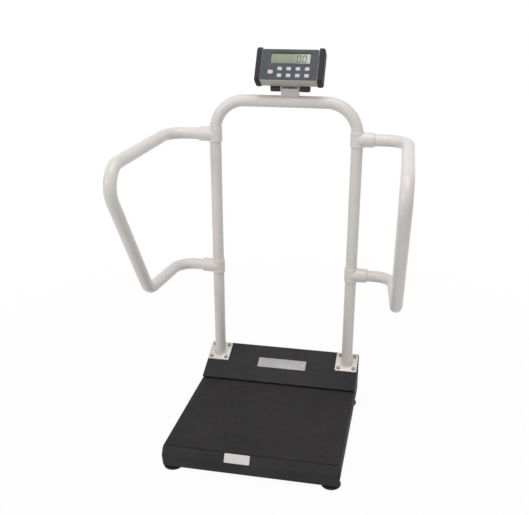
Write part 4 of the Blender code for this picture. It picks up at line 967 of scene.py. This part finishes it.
def cap_outline(inset):
    low_y = SHELL_FRONT - CAP_PROUD["front"] + inset
    high_y = SHELL_REAR + CAP_PROUD["rear"] - inset
    low_z = FACE_BOTTOM - CAP_PROUD["bottom"] + inset
    high_z = FACE_BOTTOM + FACE_HEIGHT + CAP_PROUD["top"] - inset
    outline = rounded_rectangle(high_y - low_y, high_z - low_z, CAP_CORNER - inset, 10)
    return [(y + (low_y + high_y) / 2, z + (low_z + high_z) / 2) for y, z in outline]


def make_end_cap(name, side):
    """A rubber bumper with a soft shoulder and two shallow grooves round its rim."""
    start = SHELL_WIDTH / 2 + GAP
    stations = [(0.0, 0.0003), (0.0004, 0.0)]
    for groove in CAP_GROOVES:
        stations += [(groove + along, inset) for along, inset in CAP_GROOVE]
    stations += [(CAP_THICKNESS - CAP_ROUND * (1 - math.sin(angle)),
                  CAP_ROUND * (1 - math.cos(angle))) for angle in quarter_turn(8)]
    loops = [[(side * (start + reach), y, z) for y, z in cap_outline(inset)]
             for reach, inset in stations]
    place(f"cap_bumper_{name}", loft(loops), "cap_rubber", "display", PIVOT,
          [f"end_cap_{name}"])
    reach = start + CAP_THICKNESS - CAP_SCREW_SINK
    middle = (SHELL_FRONT + SHELL_REAR) / 2
    for number, height in enumerate(CAP_SCREW_HEIGHTS):
        seat = facing((side * reach, middle, height), (side, 0, 0))
        add_screw(f"cap_screw_{name}_{number}", CAP_SCREW, PIVOT @ seat, "display",
                  "dark_steel")


def key_places():
    """The wide key at the left, then two rows of four."""
    places = [(KEY_SHIFT - 2.5 * KEY_PITCH_X, KEY_MIDDLE, *WIDE_KEY_SIZE)]
    for row in (0.5, -0.5):
        for column in range(4):
            places.append((KEY_SHIFT + (column - 1.5) * KEY_PITCH_X,
                           KEY_MIDDLE + row * KEY_PITCH_Z, *KEY_SIZE))
    return places


def make_key(number, x, z, width, height):
    """A moulded key: softly crowned cap, flange behind the panel, and stem."""
    front = FACE_FORWARD + KEY_PROUD
    behind = FACE_FORWARD - PANEL_THICKNESS - GAP
    stem_end = behind - (BOARD_SETBACK - KEY_TRAVEL - GAP)

    def ring(w, h, r, level):
        return raised(rounded_rectangle(w, h, r, 5), level)

    stem = (width / 2, height / 2, KEY_CORNER / 2)
    flange = (width + 2 * KEY_FLANGE, height + 2 * KEY_FLANGE, KEY_CORNER)
    cap = (width, height, KEY_CORNER)
    loops = [ring(*stem, stem_end), ring(*stem, behind - KEY_FLANGE_DEPTH),
             ring(*flange, behind - KEY_FLANGE_DEPTH), ring(*flange, behind),
             ring(*cap, behind), ring(*cap, front - KEY_EDGE)]
    for inset, drop in KEY_CROWN:
        loops.append(ring(width - 2 * inset, height - 2 * inset,
                          max(KEY_CORNER - inset, KEY_EDGE), front - drop))
    place(f"key_cap_{number}", loft(loops), "key_grey", f"key_{number}",
          PIVOT @ ON_FACE @ at(x, z), [f"key_{number}"])


def add_segment(form, x, z, length, thickness, lying, level):
    """One bar of a seven-segment figure, pointed at both ends."""
    half, wide = length / 2, thickness / 2
    outline = [(-half, 0.0), (-half + wide, -wide), (half - wide, -wide), (half, 0.0),
               (half - wide, wide), (-half + wide, wide)]
    if not lying:
        outline = [(-b, a) for a, b in outline]
    add_loft(form, [raised([(x + a + b * FIGURE_LEAN, z + b) for a, b in outline], up)
                    for up in (level, level + INK)])


def make_figures(level):
    """Two noughts with a point between them."""
    form = bmesh.new()
    for left in FIGURE_LEFTS:
        centre_x = left + FIGURE_WIDTH / 2
        for side_x, share, lying in NOUGHT:
            x = centre_x + side_x * (FIGURE_WIDTH - FIGURE_BAR) / 2
            z = FIGURE_BOTTOM + FIGURE_BAR / 2 + share * (FIGURE_HEIGHT - FIGURE_BAR)
            length = (FIGURE_WIDTH - FIGURE_BAR if lying
                      else (FIGURE_HEIGHT - FIGURE_BAR) / 2) - BAR_GAP
            add_segment(form, x + (z - FIGURE_BOTTOM) * FIGURE_LEAN, z, length, FIGURE_BAR,
                        lying, level)
    across, rise, radius = FIGURE_POINT
    point = [(across + x, FIGURE_BOTTOM + rise + y) for x, y in circle(radius, 20)]
    add_loft(form, [raised(point, up) for up in (level, level + INK)])
    place("lcd_figures", form, "digit_ink", "display", PIVOT @ ON_FACE)


def make_display_face():
    front = -SHELL_FRONT
    on_screen = PIVOT @ ON_FACE @ at(LCD_SHIFT, LCD_BOTTOM + LCD_HEIGHT / 2)
    form = pad(LCD_WIDTH + SCREEN_MARGINS, LCD_HEIGHT + SCREEN_MARGINS, 0.002,
               front - (BOARD_SETBACK - GAP), front - GLASS_DEPTH, 0.0006)
    place("lcd_housing", form, "gasket", "display", on_screen, ["lcd_module"])
    form = pad(LCD_WIDTH, LCD_HEIGHT, 0.0008, front - GLASS_DEPTH, front, 0.0002, both=False)
    place("lcd_glass", form, "lcd_green", "display", on_screen, ["lcd_module"])
    make_figures(front)
    # Dark ring round the window: gasket at the sides and bottom, and a deep top strip of painted
    # shadow
    rim = []
    for growth, rise, drop, level in SCREEN_GASKET_AND_PAINTED_SHADOW:
        half = LCD_WIDTH / 2 - SCREEN_RIM_GAP + growth
        bottom = LCD_BOTTOM + rise + SCREEN_RIM_GAP
        top = LCD_BOTTOM + LCD_HEIGHT - drop - SCREEN_RIM_GAP
        rim.append([(LCD_SHIFT - half, bottom, level), (LCD_SHIFT + half, bottom, level),
                    (LCD_SHIFT + half, top, level), (LCD_SHIFT - half, top, level)])
    place("lcd_gasket_and_painted_shadow", loft(rim, closed=True), "gasket", "display", PIVOT @ ON_FACE)


def make_rear_cover():
    """The battery's door on the back of the display, with its ribs and screws."""
    centre_z = BATTERY_BOTTOM + BATTERY_HEIGHT / 2
    on_back = (PIVOT @ at(0.0, SHELL_REAR + GAP, centre_z)
               @ Matrix.Rotation(-math.pi / 2, 4, "X"))
    width = BATTERY_WIDTH + 2 * COVER_MARGIN
    height = BATTERY_HEIGHT + 2 * COVER_MARGIN
    form = pad(width, height, COVER_CORNER, 0.0, COVER_THICKNESS, COVER_EDGE)
    place("battery_door", form, "battery_grey", "display", on_back, ["rear_cover"])
    for number in range(RIB_COUNT):
        up = RIB_PITCH * (number - (RIB_COUNT - 1) / 2)
        place(f"battery_door_rib_{number}", pad(*RIB, steps=2), "battery_grey", "display",
              on_back @ at(0.0, up))
    reach_x, reach_y = width / 2 - COVER_SCREW_INSET, height / 2 - COVER_SCREW_INSET
    for number, (i, j) in enumerate(CORNERS):
        seat = on_back @ at(i * reach_x, j * reach_y, COVER_THICKNESS)
        add_screw(f"battery_door_screw_{number}", COVER_SCREW, seat, "display")


# Stage

AMBIENT = 0.46
FLOOR_COLOR = (0.90, 0.90, 0.90, 1.0)
FLOOR_SIZE = 30.0
# The floor's share of white under the part, and the distances between which it grows to 1
FLOOR_GLOW = 0.95
FLOOR_GLOW_FROM = 0.8
FLOOR_GLOW_TO = 2.4
WHITE = (1.0, 1.0, 1.0, 1.0)
# Place, target, size and power of each lamp
LAMPS = {"lamp_above": ((0.2, -0.6, 3.6), (0.0, 0.0, 0.3), 2.6, 44.0),
         "lamp_left": ((-2.6, -2.2, 2.2), (0.0, 0.0, 0.6), 1.6, 27.0),
         "lamp_right": ((2.8, -1.6, 1.8), (0.0, 0.0, 0.6), 1.6, 2.5)}
CAMERA_PLACE = (0.48047, -2.38389, 1.54913)
CAMERA_DOWN = 0.3983
CAMERA_TURN = 0.2059


def add_lamp(name, location, target, size, power):
    lamp = bpy.data.lights.new(name, "AREA")
    lamp.shape = "DISK"
    lamp.size = size
    lamp.energy = power
    thing = bpy.data.objects.new(name, lamp)
    bpy.context.scene.collection.objects.link(thing)
    thing.location = location
    thing.rotation_euler = (Vector(target) - Vector(location)).to_track_quat(
        "-Z", "Y").to_euler()


def seen_directly(nodes, links):
    """1 for what the camera sees, also in gloss and through glass, and 0 for lighting."""
    path = nodes.new("ShaderNodeLightPath")
    total = path.outputs["Is Camera Ray"]
    for output in ("Is Glossy Ray", "Is Transmission Ray"):
        either = nodes.new("ShaderNodeMath")
        either.operation = "MAXIMUM"
        links.new(total, either.inputs[0])
        links.new(path.outputs[output], either.inputs[1])
        total = either.outputs[0]
    return total


def make_world():
    world = bpy.data.worlds.new("studio")
    bpy.context.scene.world = world
    world.use_nodes = True
    nodes = world.node_tree.nodes
    links = world.node_tree.links
    background = nodes["Background"]
    background.inputs["Color"].default_value = WHITE
    level = nodes.new("ShaderNodeMapRange")
    level.inputs["To Min"].default_value = AMBIENT
    level.inputs["To Max"].default_value = 1.0
    links.new(seen_directly(nodes, links), level.inputs["Value"])
    links.new(level.outputs["Result"], background.inputs["Strength"])


def make_floor():
    """A pale floor that keeps the shadow and grows to the background's white further out."""
    material, nodes, links, shader = graph("pale_floor")
    shader.inputs["Base Color"].default_value = FLOOR_COLOR
    shader.inputs["Roughness"].default_value = 0.9
    shader.inputs["Specular IOR Level"].default_value = 0.1
    light = nodes.new("ShaderNodeEmission")
    light.inputs["Color"].default_value = WHITE
    mix = nodes.new("ShaderNodeMixShader")
    reach = nodes.new("ShaderNodeVectorMath")
    reach.operation = "LENGTH"
    links.new(nodes.new("ShaderNodeNewGeometry").outputs["Position"], reach.inputs[0])
    share = nodes.new("ShaderNodeMath")
    share.operation = "MULTIPLY"
    links.new(remap(nodes, links, reach.outputs["Value"], FLOOR_GLOW, 1.0, FLOOR_GLOW_FROM,
                    FLOOR_GLOW_TO), share.inputs[1])
    links.new(seen_directly(nodes, links), share.inputs[0])
    links.new(share.outputs[0], mix.inputs["Fac"])
    links.new(shader.outputs[0], mix.inputs[1])
    links.new(light.outputs[0], mix.inputs[2])
    links.new(mix.outputs[0], nodes["Material Output"].inputs["Surface"])
    form = bmesh.new()
    bmesh.ops.create_grid(form, x_segments=1, y_segments=1, size=FLOOR_SIZE)
    mesh = bpy.data.meshes.new("floor")
    form.to_mesh(mesh)
    form.free()
    mesh.materials.append(material)
    floor = bpy.data.objects.new("floor", mesh)
    bpy.context.scene.collection.objects.link(floor)


def make_camera():
    data = bpy.data.cameras.new("camera")
    data.sensor_fit = "HORIZONTAL"
    data.sensor_width = 36.0
    data.lens = 50.94
    data.shift_x = 0.0011
    data.shift_y = 0.0782
    data.clip_end = 200.0
    camera = bpy.data.objects.new("camera", data)
    bpy.context.scene.collection.objects.link(camera)
    camera.location = CAMERA_PLACE
    camera.rotation_euler = (math.pi / 2 - CAMERA_DOWN, 0.0, CAMERA_TURN)
    bpy.context.scene.camera = camera


make_camera()
dress_frame()
make_hoop()
make_tray()
make_mat()
make_plates()
make_junction_box()
for side_name, side_sign in SIDES:
    make_weld(f"post_weld_{side_name}", side_sign)
    make_rail(side_name, side_sign)
    make_flange(side_name, side_sign)
    make_knob(side_name, side_sign)
    make_end_cap(side_name, side_sign)
    for level_name, level_height in zip(("upper", "lower"), RAIL_HEIGHTS):
        make_sleeve(level_name, side_name, side_sign, level_height)
    for foot_end, foot_sign in ENDS:
        make_foot(foot_end, foot_sign, side_name, side_sign)
make_neck_weld("neck_weld_front", -1)
make_neck_weld("neck_weld_rear", 1)
make_display_face()
for key_number, key_place in enumerate(key_places(), start=1):
    make_key(key_number, *key_place)
make_rear_cover()
bpy.context.scene.view_settings.view_transform = "Standard"
make_world()
make_floor()
for lamp_name, lamp_row in LAMPS.items():
    add_lamp(lamp_name, *lamp_row)
